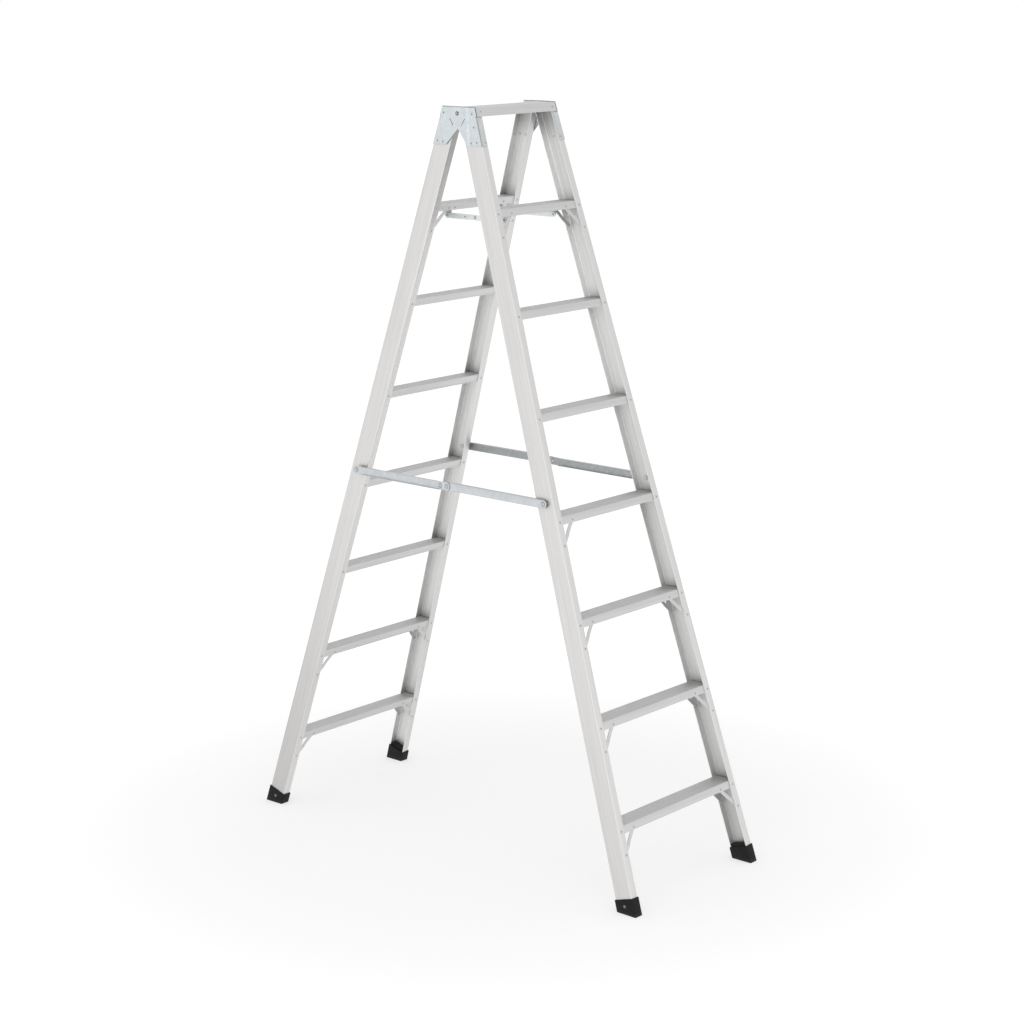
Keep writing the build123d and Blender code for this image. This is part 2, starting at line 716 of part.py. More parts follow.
# Lower spreaders
spreader_length = -spreader_pivot().Y
front_stand = spreader_web_gap + spreader_lip
rear_stand = front_stand + spreader_gap + spreader_wall
stop_at = spreader_length - joint_stop_reach
front_link = spreader_link(front_stand, 0, (0, spreader_length))
rear_link = spreader_link(rear_stand, spreader_wall - spreader_lip, (0, stop_at, spreader_length))
rear_studs = [spreader_stud(rear_stand, 0, -1), spreader_stud(rear_stand, -joint_stop_reach, -1)]
export_pair("left_front_spreader", "right_front_spreader", [front_link])
export_pair("left_rear_spreader", "right_rear_spreader", to_rear([rear_link]))
export_both("front_spreader_rivets", [link_rivet(front_stand)])
export_both("rear_spreader_rivets", to_rear([link_rivet(rear_stand)]))
export_pair("left_front_spreader_stud", "right_front_spreader_stud", [spreader_stud(front_stand, 0, 1)])
export_pair("left_rear_spreader_studs", "right_rear_spreader_studs", to_rear(rear_studs))

# Upper stays
stay_length = -stay_pivot()[1]
front_strap = stay_strap(strap_x, (0, stay_length))
rear_strap = stay_strap(rear_strap_x, (0, stay_length - stay_stop_reach, stay_length))
rear_strap_face = rear_strap_x + stay_wall
rear_stay_studs = [stay_stud(rear_strap_face, 0, 1), stay_stud(rear_strap_face, -stay_stop_reach, 1)]
export_pair("left_front_stay", "right_front_stay", [front_strap])
export_pair("left_rear_stay", "right_rear_stay", to_rear([rear_strap]))
export_both("front_stay_brackets", [stay_bracket(tab_x)])
export_both("rear_stay_brackets", to_rear([stay_bracket(rear_tab_x)]))
export_both("front_stay_rivets", [stay_rivet(tab_x, -1)])
export_both("rear_stay_rivets", to_rear([stay_rivet(rear_tab_x + bracket_wall, 1)]))
export_pair("left_front_stay_stud", "right_front_stay_stud", [stay_stud(strap_x, 0, -1)])
export_pair("left_rear_stay_studs", "right_rear_stay_studs", to_rear(rear_stay_studs))
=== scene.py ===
"""Looks of the double-sided aluminium step ladder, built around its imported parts.

Metres. +X is across the ladder, +Y runs from the front frame to the rear frame, +Z is up, and the origin is
on the floor under the hinge line. "along" is a distance up the slope of a frame, "depth" a distance in from
its outer flange face, "inset" a distance in from a rail's outer web face, and "up" a distance up a rail.
Pieces are drawn at the front left and mirrored from there.
"""
import bmesh
import bpy
import numpy as np
from math import radians
from mathutils import Matrix, Vector


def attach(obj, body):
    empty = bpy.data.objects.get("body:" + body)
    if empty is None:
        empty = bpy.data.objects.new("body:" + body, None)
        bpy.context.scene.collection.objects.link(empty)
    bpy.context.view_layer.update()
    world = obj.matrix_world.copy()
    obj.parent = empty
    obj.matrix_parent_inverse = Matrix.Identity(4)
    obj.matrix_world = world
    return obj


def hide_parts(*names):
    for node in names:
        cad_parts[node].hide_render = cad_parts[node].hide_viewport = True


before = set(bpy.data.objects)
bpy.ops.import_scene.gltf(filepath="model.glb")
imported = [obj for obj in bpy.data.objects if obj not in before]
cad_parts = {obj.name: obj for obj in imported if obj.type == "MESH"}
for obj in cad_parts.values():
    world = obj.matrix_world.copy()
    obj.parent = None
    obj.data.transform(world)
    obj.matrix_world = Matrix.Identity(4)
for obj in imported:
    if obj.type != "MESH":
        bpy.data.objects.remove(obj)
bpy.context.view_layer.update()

# Rails
# Four open channels of extruded aluminium, web outwards, two to a frame, sawn level at the foot and square
# at the top. The die leaves soft corners and long faint lines. The etched finish is a satin grey, painted
# paler inside the channel as light, with a painted highlight on the upper inner flange faces. Painted shade
# darkens the channel under the top tread and just above each tread, the inner flange faces by the hinge,
# and the front channels and the rear webs towards the foot.
MM = 0.001
LEAN = radians(17.3)
TAPER = radians(2.8)
BASE_HALF_WIDTH = 294 * MM
FIRST_STEP = 259 * MM
STEP_PITCH = 300 * MM
STEP_COUNT = 7
TOP_ALONG = FIRST_STEP + STEP_COUNT * STEP_PITCH
PIVOT_DROP = 18.3 * MM
PIVOT_HEIGHT = TOP_ALONG * np.cos(LEAN) - PIVOT_DROP
HINGE_HALF_GAP = 2.3 * MM
RAIL_DEPTH = 61 * MM
RAIL_FLANGE = 26 * MM
RAIL_WEB_WALL = 2.0 * MM
RAIL_FLANGE_WALL = 2.2 * MM
RAIL_CORNER = 1.5 * MM
RAIL_LIP_ROUND = 1.0 * MM
RAIL_FILLET = 1.6 * MM
RAIL_END_GAP = 7 * MM
RAIL_TOP = (TOP_ALONG - RAIL_END_GAP) / np.cos(TAPER)
HALF_SPREAD = PIVOT_HEIGHT * np.tan(LEAN) + RAIL_DEPTH / np.cos(LEAN) + HINGE_HALF_GAP
SOLE = 6 * MM
SIDES = {"left": -1, "right": 1}
ENDS = {"front": -1, "rear": 1}
SHARP_ANGLE = radians(35)
LOW_ROW = 120 * MM
ROWS_BY_TREAD = np.array([-30, -1, 5, 13, 28]) * MM
ROWS_BY_HINGE = np.linspace(1880, 2220, 18) * MM
DIE_LINES = (160 * MM, 2.5 * MM, 4.0)  # length, width, detail; bundles, as one die line is too fine to show
DIE_BANDS = (320 * MM, 9 * MM, 3.0)
NOISE_LOW = 0.3
NOISE_HIGH = 0.7
DIE_TONES = (0.7, 1.3)  # low and high of lines and bands together
DIE_RELIEF = (0.15, 0.2 * MM)  # strength and depth
ETCH_SWING = 0.06
METAL = {"Metallic": 1.0}
# Grey of the shade painted on the aluminium.
SHADE_GREY = "#5A5958"
# Bands of painted highlight and shade: how much there is, and the places up the rail, in mm, where it begins
# and is full.
INNER_FACE_HIGHLIGHT = (1.0, 1200, 1700)
TOP_END_SHADE = (0.5, 2240, 2345)
HINGE_SHADE = [(0.25, 1970, 2060), (0.2, 2150, 2300)]
CHANNEL_LOW_SHADE = [(0.08, 1700, 1200), (0.14, 500, 100)]
REAR_WEB_LOW_SHADE = (0.22, 1200, 100)
HINGE_SHADE_SHARE = {"left": 1.0, "right": 0.2}
OVER_TREAD_SHADE_HEIGHT = 28 * MM
OVER_TREAD_SHADE_SLACK = 2 * MM
OVER_TREAD_SHADE = (0.3, 0.15)
FACE_SLACK = 0.3 * MM


def unit(vectors):
    """Vectors scaled to length 1."""
    return vectors / np.linalg.norm(vectors, axis=-1, keepdims=True)


def rounded(corners, radii, steps=5):
    """Closed outline with round corners: at each corner, an arc of its radius that touches both edges.

    The arc's centre lies on the corner's bisector, and its points turn evenly from one edge to the next.
    Returns the points and how worn each is: 1 in the middle of an outer corner's arc, 0 where the arc ends.
    """
    corners = np.asarray(corners, float)
    before = unit(np.roll(corners, 1, axis=0) - corners)
    after = unit(np.roll(corners, -1, axis=0) - corners)
    half = np.arccos(np.clip((before * after).sum(1), -1, 1)) / 2
    centre = corners + unit(before + after) * (radii / np.sin(half))[:, None]
    touch = (radii / np.tan(half))[:, None]
    start = (corners + before * touch - centre)[:, None]
    end = (corners + after * touch - centre)[:, None]
    turn = np.linspace(0, 1, steps)[:, None]
    sweep = (np.pi - 2 * half)[:, None, None]
    arc = (start * np.sin((1 - turn) * sweep) + end * np.sin(turn * sweep)) / np.sin(sweep)
    x, y = corners.T
    area = (x * np.roll(y, -1) - np.roll(x, -1) * y).sum()
    outer = (before[:, 1] * after[:, 0] - before[:, 0] * after[:, 1]) * area > 0
    worn = outer[:, None] * np.sin(np.pi * turn[:, 0])
    return (centre[:, None] + arc).reshape(-1, 2), worn.ravel()


def swept(name, rings, edge=0.0, finish=0):
    """Shells of rings carried along a path: rings is a grid of (shell, station, ring point, xyz).

    Neighbouring rings are joined by quads, and the first and last are closed by one flat face each. A shell
    whose quads enclose a negative volume is turned to face outwards. The UV map holds the distance along the
    path and around the ring in metres, the attribute "edge" is 1 on worn corners and also carries painted
    highlights and painted shade, and finish is the material number of each strip round the ring.
    """
    rings = rings.reshape(-1, *rings.shape[-3:])
    shells, stations, points, _ = rings.shape
    index = np.arange(shells * stations * points).reshape(shells, stations, points)
    beside = np.roll(index, -1, axis=2)
    quads = np.stack([index[:, :-1], beside[:, :-1], beside[:, 1:], index[:, 1:]], axis=-1)
    travel = np.linalg.norm(np.diff(rings, axis=1), axis=3)
    u = np.concatenate([np.zeros((shells, 1, points)), np.cumsum(travel, axis=1)], axis=1).ravel()
    middle = rings[:, stations // 2]
    girth = np.linalg.norm(np.roll(middle, -1, axis=1) - middle, axis=2)
    stop = np.cumsum(girth, axis=1)
    v_start, v_stop = [np.broadcast_to(v[:, None], index.shape) for v in (stop - girth, stop)]
    uv = np.stack([u[quads], np.stack([v_start, v_stop, v_stop, v_start], axis=-1)[:, 1:]], axis=-1)
    spot = (rings - rings.mean(axis=(1, 2), keepdims=True)).reshape(-1, 3)[quads]
    volume = np.einsum("...i,...i", np.cross(spot[..., 0, :], spot[..., 1, :]), spot[..., 2, :])
    volume += np.einsum("...i,...i", np.cross(spot[..., 0, :], spot[..., 2, :]), spot[..., 3, :])
    inside_out = volume.sum(axis=(1, 2)) < 0
    quads[inside_out] = quads[inside_out][..., ::-1]
    uv[inside_out] = uv[inside_out][..., ::-1, :]
    first = np.where(inside_out[:, None], index[:, 0], index[:, 0, ::-1])
    last = np.where(inside_out[:, None], index[:, -1, ::-1], index[:, -1])
    caps = np.concatenate([first, last])
    cap_uv = np.stack([u[caps], v_start.ravel()[caps]], axis=-1)
    mesh = bpy.data.meshes.new(name)
    mesh.from_pydata(rings.reshape(-1, 3).tolist(), [], quads.reshape(-1, 4).tolist() + caps.tolist())
    layer = mesh.uv_layers.new(name="length_girth")
    layer.data.foreach_set("uv", np.concatenate([uv.ravel(), cap_uv.ravel()]).astype(np.float32))
    worn = mesh.attributes.new("edge", "FLOAT", "POINT")
    worn.data.foreach_set("value", np.broadcast_to(edge, index.shape).ravel().astype(np.float32))
    strips = np.concatenate([np.broadcast_to(finish, quads.shape[:-1]).ravel(), np.zeros(len(caps))])
    mesh.polygons.foreach_set("material_index", strips.astype(np.int32))
    mesh.polygons.foreach_set("use_smooth", np.ones(len(mesh.polygons), bool))
    mesh.set_sharp_from_angle(angle=SHARP_ANGLE)
    piece = bpy.data.objects.new(name, mesh)
    bpy.context.scene.collection.objects.link(piece)
    return piece


def placed(piece, finishes, body, slot, *nodes):
    """Gives a piece its finishes and the body it moves with, and hides the parts it stands for; slot is not
    used.
    """
    for finish in finishes:
        piece.data.materials.append(finish)
    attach(piece, body)
    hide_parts(*nodes)


def in_world(points, side, end):
    """World points of the front left quarter, mirrored to a side and an end."""
    return np.asarray(points) * np.array([-side, -end, 1])


def in_frame(points, side, end):
    """Points (x, depth, along) of the front left frame, in the world, mirrored to a side and an end."""
    x, depth, along = np.moveaxis(np.asarray(points), -1, 0)
    y = along * np.sin(LEAN) + depth * np.cos(LEAN) - HALF_SPREAD
    z = along * np.cos(LEAN) - depth * np.sin(LEAN)
    return in_world(np.stack([x, y, z], axis=-1), side, end)


def on_rail(points, side, end):
    """Points (inset, depth, up the rail) of the front left rail, moved to a rail's place."""
    inset, depth, up = np.moveaxis(np.asarray(points), -1, 0)
    x = inset * np.cos(TAPER) + up * np.sin(TAPER) - BASE_HALF_WIDTH
    along = up * np.cos(TAPER) - inset * np.sin(TAPER)
    return in_frame(np.stack([x, depth, along], axis=-1), side, end)


def stacked(*parts):
    """Coordinates that may differ in shape, spread to one shape and put together as points."""
    return np.stack(np.broadcast_arrays(*parts), axis=-1)


def step_between(value, start, stop):
    """0 at start and 1 at stop, with a smooth S between them: 3t^2 - 2t^3."""
    share = np.clip((value - start) / (stop - start), 0, 1)
    return share * share * (3 - 2 * share)


def tread_height(number):
    """Height of a tread's top, from its number."""
    return (FIRST_STEP + (number - 1) * STEP_PITCH) * np.cos(LEAN)


def rail_foot(inset, depth, height):
    """Distance up the rail at which a line of the section meets a height: its height solved for that."""
    drop = inset * np.sin(TAPER) * np.cos(LEAN) + depth * np.sin(LEAN)
    return (height + drop) / (np.cos(TAPER) * np.cos(LEAN))


def channel_outline():
    """Section of a rail as (inset, depth): a channel with soft corners, round lips and inner fillets."""
    web, wall, lip = RAIL_WEB_WALL, RAIL_FLANGE_WALL, RAIL_FLANGE
    half = [(0, 0), (lip, 0), (lip, wall), (web, wall)]
    radii = [RAIL_CORNER, RAIL_LIP_ROUND, RAIL_LIP_ROUND, RAIL_FILLET]
    return rounded(half + [(inset, RAIL_DEPTH - depth) for inset, depth in half[::-1]], radii + radii[::-1])


def bands_of(up, *bands):
    """Wear or dirt up a rail: a sum of bands of (amount, start, full), each rising smoothly in between."""
    return sum(amount * step_between(up, start * MM, full * MM) for amount, start, full in bands)


def linear(hex_colour):
    """An sRGB hex colour as linear RGBA, by the sRGB curve."""
    parts = np.array([int(hex_colour[i:i + 2], 16) for i in (1, 3, 5)]) / 255
    return (*np.where(parts <= 0.04045, parts / 12.92, ((parts + 0.055) / 1.055) ** 2.4), 1.0)


def node(tree, kind, inputs=None, **settings):
    """Adds a node and returns its outputs; an input is set to a value, or linked to a node's output."""
    made = tree.nodes.new("ShaderNode" + kind)
    for name, value in settings.items():
        setattr(made, name, value)
    for socket, value in (inputs or {}).items():
        if isinstance(value, bpy.types.NodeSocket):
            tree.links.new(value, made.inputs[socket])
        else:
            made.inputs[socket].default_value = value
    return made.outputs


def new_material(name):
    """A material with an empty tree."""
    material = bpy.data.materials.new(name)
    material.use_nodes = True
    material.node_tree.nodes.clear()
    return material, material.node_tree


def toned(tree, pattern, low, high, first, second):
    """A colour that runs from a first to a second one as a pattern runs from low to high."""
    share = node(tree, "MapRange", {0: pattern, 1: low, 2: high})[0]
    return node(tree, "Mix", {0: share, 6: first, 7: second}, data_type="RGBA")[2]


def shaded(tree, colour, gloss, relief, constants):
    """Ends a material with a surface of a colour, which takes its roughness and its relief from patterns.

    gloss is a pattern and the roughness at its low and at its high places, relief is a pattern, a strength
    and a depth, and constants are the values that are the same all over.
    """
    pattern, low, high = gloss
    rough = node(tree, "MapRange", {0: pattern, 1: NOISE_LOW, 2: NOISE_HIGH, 3: low, 4: high})
    bump = node(tree, "Bump", dict(zip(("Height", "Strength", "Distance"), relief)))
    surface = node(tree, "BsdfPrincipled", {
        "Base Color": colour, "Roughness": rough[0], "Normal": bump[0], **constants})
    node(tree, "OutputMaterial", {"Surface": surface[0]})


def etched_aluminium(name, dim_tone, bright, edge_colour, rough):
    """Extruded aluminium, etched: satin grey with faint lines along the die's path.

    The attribute "edge" is 1 on worn corners and painted highlights, and -1 where shade is painted.
    """
    material, tree = new_material(name)
    uv = node(tree, "UVMap", uv_map="length_girth")["UV"]
    patterns = []
    for length, width, detail in (DIE_LINES, DIE_BANDS):
        drawn = node(tree, "Mapping", {"Vector": uv, "Scale": (1 / length, 1 / width, 1)})[0]
        noise = node(tree, "TexNoise", {"Vector": drawn, "Scale": 1.0, "Detail": detail})
        patterns.append(noise[0])
    lines, bands = patterns
    both = node(tree, "Math", {0: lines, 1: bands}, operation="ADD")[0]
    grey = toned(tree, both, *DIE_TONES, linear(dim_tone), linear(bright))
    edge = node(tree, "Attribute", attribute_name="edge")["Fac"]
    wear_and_highlight = toned(tree, edge, 0, 1, grey, linear(edge_colour))
    colour = toned(tree, edge, 0, -1, wear_and_highlight, linear(SHADE_GREY))
    shaded(tree, colour, (lines, rough - ETCH_SWING, rough + ETCH_SWING), (lines, *DIE_RELIEF), METAL)
    return material


rail_finish = etched_aluminium("rail_etched_aluminium", "#CECDCC", "#DBDAD9", "#DFDFDE", 0.5)
# Inside the channel a lit copy of the aluminium: painted paler as light, near white for the painted
# highlight.
channel_lit_finish = etched_aluminium("channel_painted_light_aluminium", "#D5D5D4", "#E6E6E5", "#F3F3F2", 0.55)
outline, outline_edge = channel_outline()
inset, depth = outline.T
tread_tops = tread_height(np.arange(1, STEP_COUNT + 1))[:, None]
by_treads = tread_tops + ROWS_BY_TREAD
levels = np.concatenate([[SOLE, LOW_ROW], by_treads[:-1].ravel(), by_treads[-1, :3], ROWS_BY_HINGE])
levels = np.sort(levels)[:, None]
up = np.vstack([rail_foot(inset, depth, levels), np.full(len(outline), RAIL_TOP)])
channel = stacked(inset, depth, up)
on_web = inset < RAIL_WEB_WALL / 2
inside = ~on_web & (depth > RAIL_FLANGE_WALL / 2) & (depth < RAIL_DEPTH - RAIL_FLANGE_WALL / 2)
inner_face = inside & (depth > RAIL_DEPTH - 1.5 * RAIL_FLANGE_WALL)
# Worn corners, and a highlight painted on the inner flange faces higher up the rail.
wear_and_highlight = np.maximum(outline_edge, inner_face * bands_of(up, INNER_FACE_HIGHLIGHT))
# Shade painted inside the channel just above each tread, and under the top tread.
over_tread = levels - tread_tops.T
shade_over_treads = np.max((over_tread > -OVER_TREAD_SHADE_SLACK) * step_between(over_tread, OVER_TREAD_SHADE_HEIGHT, 0), axis=1)
shade_over_treads = np.append(shade_over_treads, 0)[:, None] * np.where(depth < RAIL_DEPTH / 2, *OVER_TREAD_SHADE)
overlay = inside * np.maximum(shade_over_treads, bands_of(up, TOP_END_SHADE))
# Shade painted on the inner flange faces by the hinge, more on the left rails than the right.
shade_by_hinge = (depth > RAIL_DEPTH - FACE_SLACK) * bands_of(up, *HINGE_SHADE)
# Shade painted towards the foot: inside the front channels, and on the outer webs of the rear rails.
low_shade = {"front": inside * bands_of(up, *CHANNEL_LOW_SHADE), "rear": on_web * bands_of(up, REAR_WEB_LOW_SHADE)}
for end_name, end in ENDS.items():
    for side_name, side in SIDES.items():
        name = f"{end_name}_{side_name}_rail"
        painted_shade = overlay + low_shade[end_name] + HINGE_SHADE_SHARE[side_name] * shade_by_hinge
        rail = swept(f"{name}_channel", on_rail(channel, side, end), wear_and_highlight * (1 - painted_shade) - painted_shade,
                     inside & np.roll(inside, -1))
        placed(rail, [rail_finish, channel_lit_finish], f"{end_name}_frame", "rail_aluminium", name)

# Treads
# Ribbed channels of extruded aluminium that hang between the rail flanges, riveted through their skirts. The
# ribs stop shoes slipping; their tops are scuffed darker than the skirts, and their ends are painted dark as
# shade in the seam against the rail web.
# The top tread has deeper skirts and lies over the rail ends, with its front skirt outside the flanges.
SKIRT_DROP = 22 * MM
TOP_SKIRT_DROP = 26 * MM
SKIRT_WALL = 2.0 * MM
SKIRT_LIP_ROUND = 0.8 * MM
SKIRT_FILLET = 1.2 * MM
TREAD_WALL = 2.2 * MM
RIB_COUNT = 10
RIB_HEIGHT = 0.8 * MM
RIB_SHARE = 0.6
RIB_ROUND = 0.25 * MM
NOSE = 1.0 * MM
ARC_STEPS = 4
STEP_GAP = 0.1 * MM
STEP_END_INSET = RAIL_WEB_WALL + 0.5 * MM
TOP_END_INSET = 0.3 * MM
SKIRT_FRONT = RAIL_FLANGE_WALL + STEP_GAP
SKIRT_BACK = RAIL_DEPTH - RAIL_FLANGE_WALL - STEP_GAP
TOP_SKIRT_FRONT = -STEP_GAP - SKIRT_WALL
END_STATIONS = np.array([0.983, 0.993, 1.0])  # shares of a tread's half length
INNER_STATIONS = np.linspace(-0.95, 0.95, 12)
SHADED_END = 0.99


def frame_y(depth, height):
    """World Y of a depth in the front frame, at a height."""
    return height * np.tan(LEAN) + depth / np.cos(LEAN) - HALF_SPREAD


def tread_outline(top, front, drop):
    """Section of a front tread as (y, z): ribs at an even pitch on top, and skirts along the rail's lean."""
    low = top - drop
    groove = top - RIB_HEIGHT
    under = groove - TREAD_WALL
    inner_front = front + SKIRT_WALL
    inner_back = SKIRT_BACK - SKIRT_WALL
    depth, height = np.array([
        (front, low), (front, top), (SKIRT_BACK, top), (SKIRT_BACK, low),
        (inner_back, low), (inner_back, under), (inner_front, under), (inner_front, low)]).T
    skirts = np.stack([frame_y(depth, height), height], axis=1)
    first, last = skirts[1:3, 0]
    pitch = (last - first) / (RIB_COUNT - 1 + RIB_SHARE)
    starts = first + np.arange(1, RIB_COUNT) * pitch
    stops = starts - (1 - RIB_SHARE) * pitch
    ribs_y = np.stack([stops, stops, starts, starts], axis=1)
    ribs = stacked(ribs_y, [top, groove, groove, top]).reshape(-1, 2)
    lip = SKIRT_LIP_ROUND
    radii = np.concatenate([[lip, NOSE], np.full(len(ribs), RIB_ROUND),
                            [NOSE, lip, lip, SKIRT_FILLET, SKIRT_FILLET, lip]])
    return rounded(np.vstack([skirts[:2], ribs, skirts[2:]]), radii, ARC_STEPS)


skirt_finish = etched_aluminium("skirt_etched_aluminium", "#C5C5C5", "#D0D0D0", "#D0D0D0", 0.5)
top_finish = etched_aluminium("tread_top_scuffed_aluminium", "#BBBBBB", "#CBCBCB", "#CECECE", 0.55)
share = np.concatenate([-END_STATIONS[::-1], INNER_STATIONS, END_STATIONS])[:, None]
# Shade painted at both ends of a tread, in its seam against the rail web.
painted_shade = 1.0 * (np.abs(share) > SHADED_END)
step_sizes = (SKIRT_FRONT, SKIRT_DROP, STEP_END_INSET)
treads = [(f"{end_name}_step_{number}", end_name, number, step_sizes)
          for end_name in ENDS for number in range(1, STEP_COUNT + 1)]
treads.append(("top_step", "front", STEP_COUNT + 1, (TOP_SKIRT_FRONT, TOP_SKIRT_DROP, TOP_END_INSET)))
for name, end_name, number, (front, drop, front_inset) in treads:
    section, section_edge = tread_outline(tread_height(number), front, drop)
    y, z = section.T
    end_inset = np.interp(y, [y.min(), y.max()], [front_inset, STEP_END_INSET])
    along = (y + HALF_SPREAD) * np.sin(LEAN) + z * np.cos(LEAN)
    reach = BASE_HALF_WIDTH - (end_inset + along * np.sin(TAPER)) / np.cos(TAPER)
    corner = np.arange(len(section)) // ARC_STEPS
    on_top = (corner >= 1) & (corner <= 4 * RIB_COUNT - 3)
    tread = swept(f"{name}_tread", in_world(stacked(share * reach, y, z), -1, ENDS[end_name]),
                  section_edge * (1 - painted_shade) - painted_shade, on_top)
    placed(tread, [skirt_finish, top_finish], f"{end_name}_frame", "tread_aluminium", name)

# Braces
# Flat strips of rolled aluminium with round ends, which stiffen the lower treads. Each lies inside a skirt,
# steps out over a short bend and lies inside the flange below, with one rivet an end. Rolling leaves a
# bright, even face.
BRACE_WIDTH = 12 * MM
BRACE_WALL = 2.0 * MM
BRACE_REACH = 46 * MM
BRACE_SEAT = 12 * MM
BRACE_UPPER_DROP = 14 * MM
BRACE_LOWER_DROP = 78 * MM
BRACE_BEND = (32 * MM, 54 * MM)
STRIP_EASE = 0.5 * MM
BLUNT_END = 0.06  # the angle at which a strip's end circle is cut flat
BRACED = {("front", "left"): (1, 2, 3, 4, 7), ("front", "right"): (1, 2, 3, 7),
          ("rear", "left"): (1, 2, 7), ("rear", "right"): (1, 2, 7)}
FLANGE_FACES = [(0, -1), (RAIL_DEPTH, 1)]  # depth and outward way of the outer and the inner flange


def along_at(height, depth):
    """Distance along the frame of a height, at a depth."""
    return (height + depth * np.sin(LEAN)) / np.cos(LEAN)


def left_web(along):
    """World X of the left rail's outer web face."""
    return along * np.tan(TAPER) - BASE_HALF_WIDTH


def brace_ends(number, depth):
    """Left-hand brace rivets as (x, along): the upper one on the skirt, the lower one on the flange."""
    along = along_at(tread_height(number) - np.array([BRACE_UPPER_DROP, BRACE_LOWER_DROP]), depth)
    return np.stack([left_web(along) + RAIL_FLANGE + np.array([BRACE_REACH, -BRACE_SEAT]), along], axis=1)


def round_ended(length, width, inner, steps):
    """Stations along a round-ended strip and its share of the width at each: a half circle at each end."""
    angle = np.linspace(BLUNT_END, np.pi / 2, steps)
    cap = width / 2 * np.cos(angle)
    run = np.concatenate([-cap, inner, length + cap[::-1]])
    share = np.concatenate([np.sin(angle), np.ones(len(inner)), np.sin(angle[::-1])])
    return run[:, None], share[:, None]


def strap_grid(length, width, wall, bends=()):
    """A round-ended strap as rings of (run, across, out), with its first rivet at run 0.

    The ring is a thin rectangle with eased edges, and stations lie closer together at the ends and through
    any bends.
    """
    inner = np.concatenate([np.linspace(0, length, 9)[1:-1], *[np.linspace(*bend, 9) for bend in bends]])
    run, share = round_ended(length, width, np.sort(inner), 9)
    half = width / 2
    ring, worn = rounded([(-half, 0), (half, 0), (half, wall), (-half, wall)], STRIP_EASE, steps=4)
    return stacked(run, share * ring[:, 0], ring[:, 1]), worn


def brace_rings(number, face, way):
    """A left-hand brace in (x, depth, along): a strap up from its lower rivet, stepped to the skirt."""
    upper, lower = brace_ends(number, face)
    length = np.linalg.norm(upper - lower)
    run_x, run_along = (upper - lower) / length
    strap, worn = strap_grid(length, BRACE_WIDTH, BRACE_WALL, [BRACE_BEND])
    run, across, out = np.moveaxis(strap, -1, 0)
    lift = RAIL_FLANGE_WALL + (STEP_GAP + SKIRT_WALL) * step_between(run, *BRACE_BEND)
    return stacked(lower[0] + run * run_x - across * run_along, face - way * (lift + out),
                   lower[1] + run * run_along + across * run_x), worn


brace_finish = etched_aluminium("brace_rolled_aluminium", "#C4C4C4", "#D0D0D0", "#DADADA", 0.48)
for end_name, end in ENDS.items():
    strips = []
    for side_name, side in SIDES.items():
        for number in BRACED[end_name, side_name]:
            for face, way in FLANGE_FACES:
                strip, strip_edge = brace_rings(number, face, way)
                strips.append(in_frame(strip, side, end))
    braces = swept(f"{end_name}_brace_strips", np.array(strips), strip_edge)
    placed(braces, [brace_finish], f"{end_name}_frame", "brace_aluminium", f"{end_name}_step_braces")

# Frame rivets
# Aluminium blind rivets that hold the treads and the braces: a low dome with the eye that the snapped
# mandrel leaves, and a bulged tail behind. The setting tool leaves the dome smooth and bright, and the eye
# is painted dark as shade.
RIVET_RADIUS = 2.4 * MM
RIVET_HEAD_RADIUS = 4.6 * MM
RIVET_HEAD_HEIGHT = 1.5 * MM
RIVET_EYE_RADIUS = 1.2 * MM
RIVET_EYE_DEPTH = 0.9 * MM
RIVET_TAIL_RADIUS = 3.4 * MM
RIVET_TAIL_HEIGHT = 1.6 * MM
DOME_RIM = 0.05 * MM
EYE_POINTS = 8
EYE_SHADE_REACH = 1.6
PEEL_GRAIN = 1.2 * MM  # coarser than the real grain, which is too fine to show
PEEL_RELIEF = (0.12, 0.1 * MM)
PEEL_SWING = (0.05, 0.08)
STEP_RIVET_INSET = 13 * MM
STEP_RIVET_DROP = 13 * MM
TOP_RIVET_INSET = 20 * MM
STAY_STEP = 7
STAY_INSET = 6.5 * MM
STAY_DEPTH = 45 * MM
STAY_DROP = 38 * MM
STAY_WALL = 2.0 * MM
STAY_GAP = 0.4 * MM
SEAT_GAP = 0.2 * MM
BRACKET_WALL = 2.0 * MM
BRACKET_LEG_WIDTH = 17 * MM
BRACKET_RIVET_RISE = 29 * MM
BRACKET_FIT = 0.1 * MM
STAY_ALONG = along_at(tread_height(STAY_STEP) - STAY_DROP, STAY_DEPTH)
STAY_FACE = brace_ends(STAY_STEP, RAIL_DEPTH)[0][0] + BRACE_WIDTH / 2 + STAY_INSET
STRAP_X = {"front": STAY_FACE - STAY_WALL, "rear": STAY_FACE + STAY_GAP}
TAB_X = {"front": STRAP_X["front"] - SEAT_GAP - BRACKET_WALL, "rear": STRAP_X["rear"] + STAY_WALL + SEAT_GAP}
FLANGE_GRIP = RAIL_FLANGE_WALL + STEP_GAP + SKIRT_WALL


def dome(radius, height, inner, steps=7):
    """Half section of a low dome as (radius, height): a sphere's arc from an inner radius out to its rim."""
    sphere = (radius**2 + height**2) / (2 * height)
    reach = np.linspace(inner, radius - DOME_RIM, steps)
    return np.stack([reach, height - sphere + np.sqrt(sphere**2 - reach**2)], axis=1)


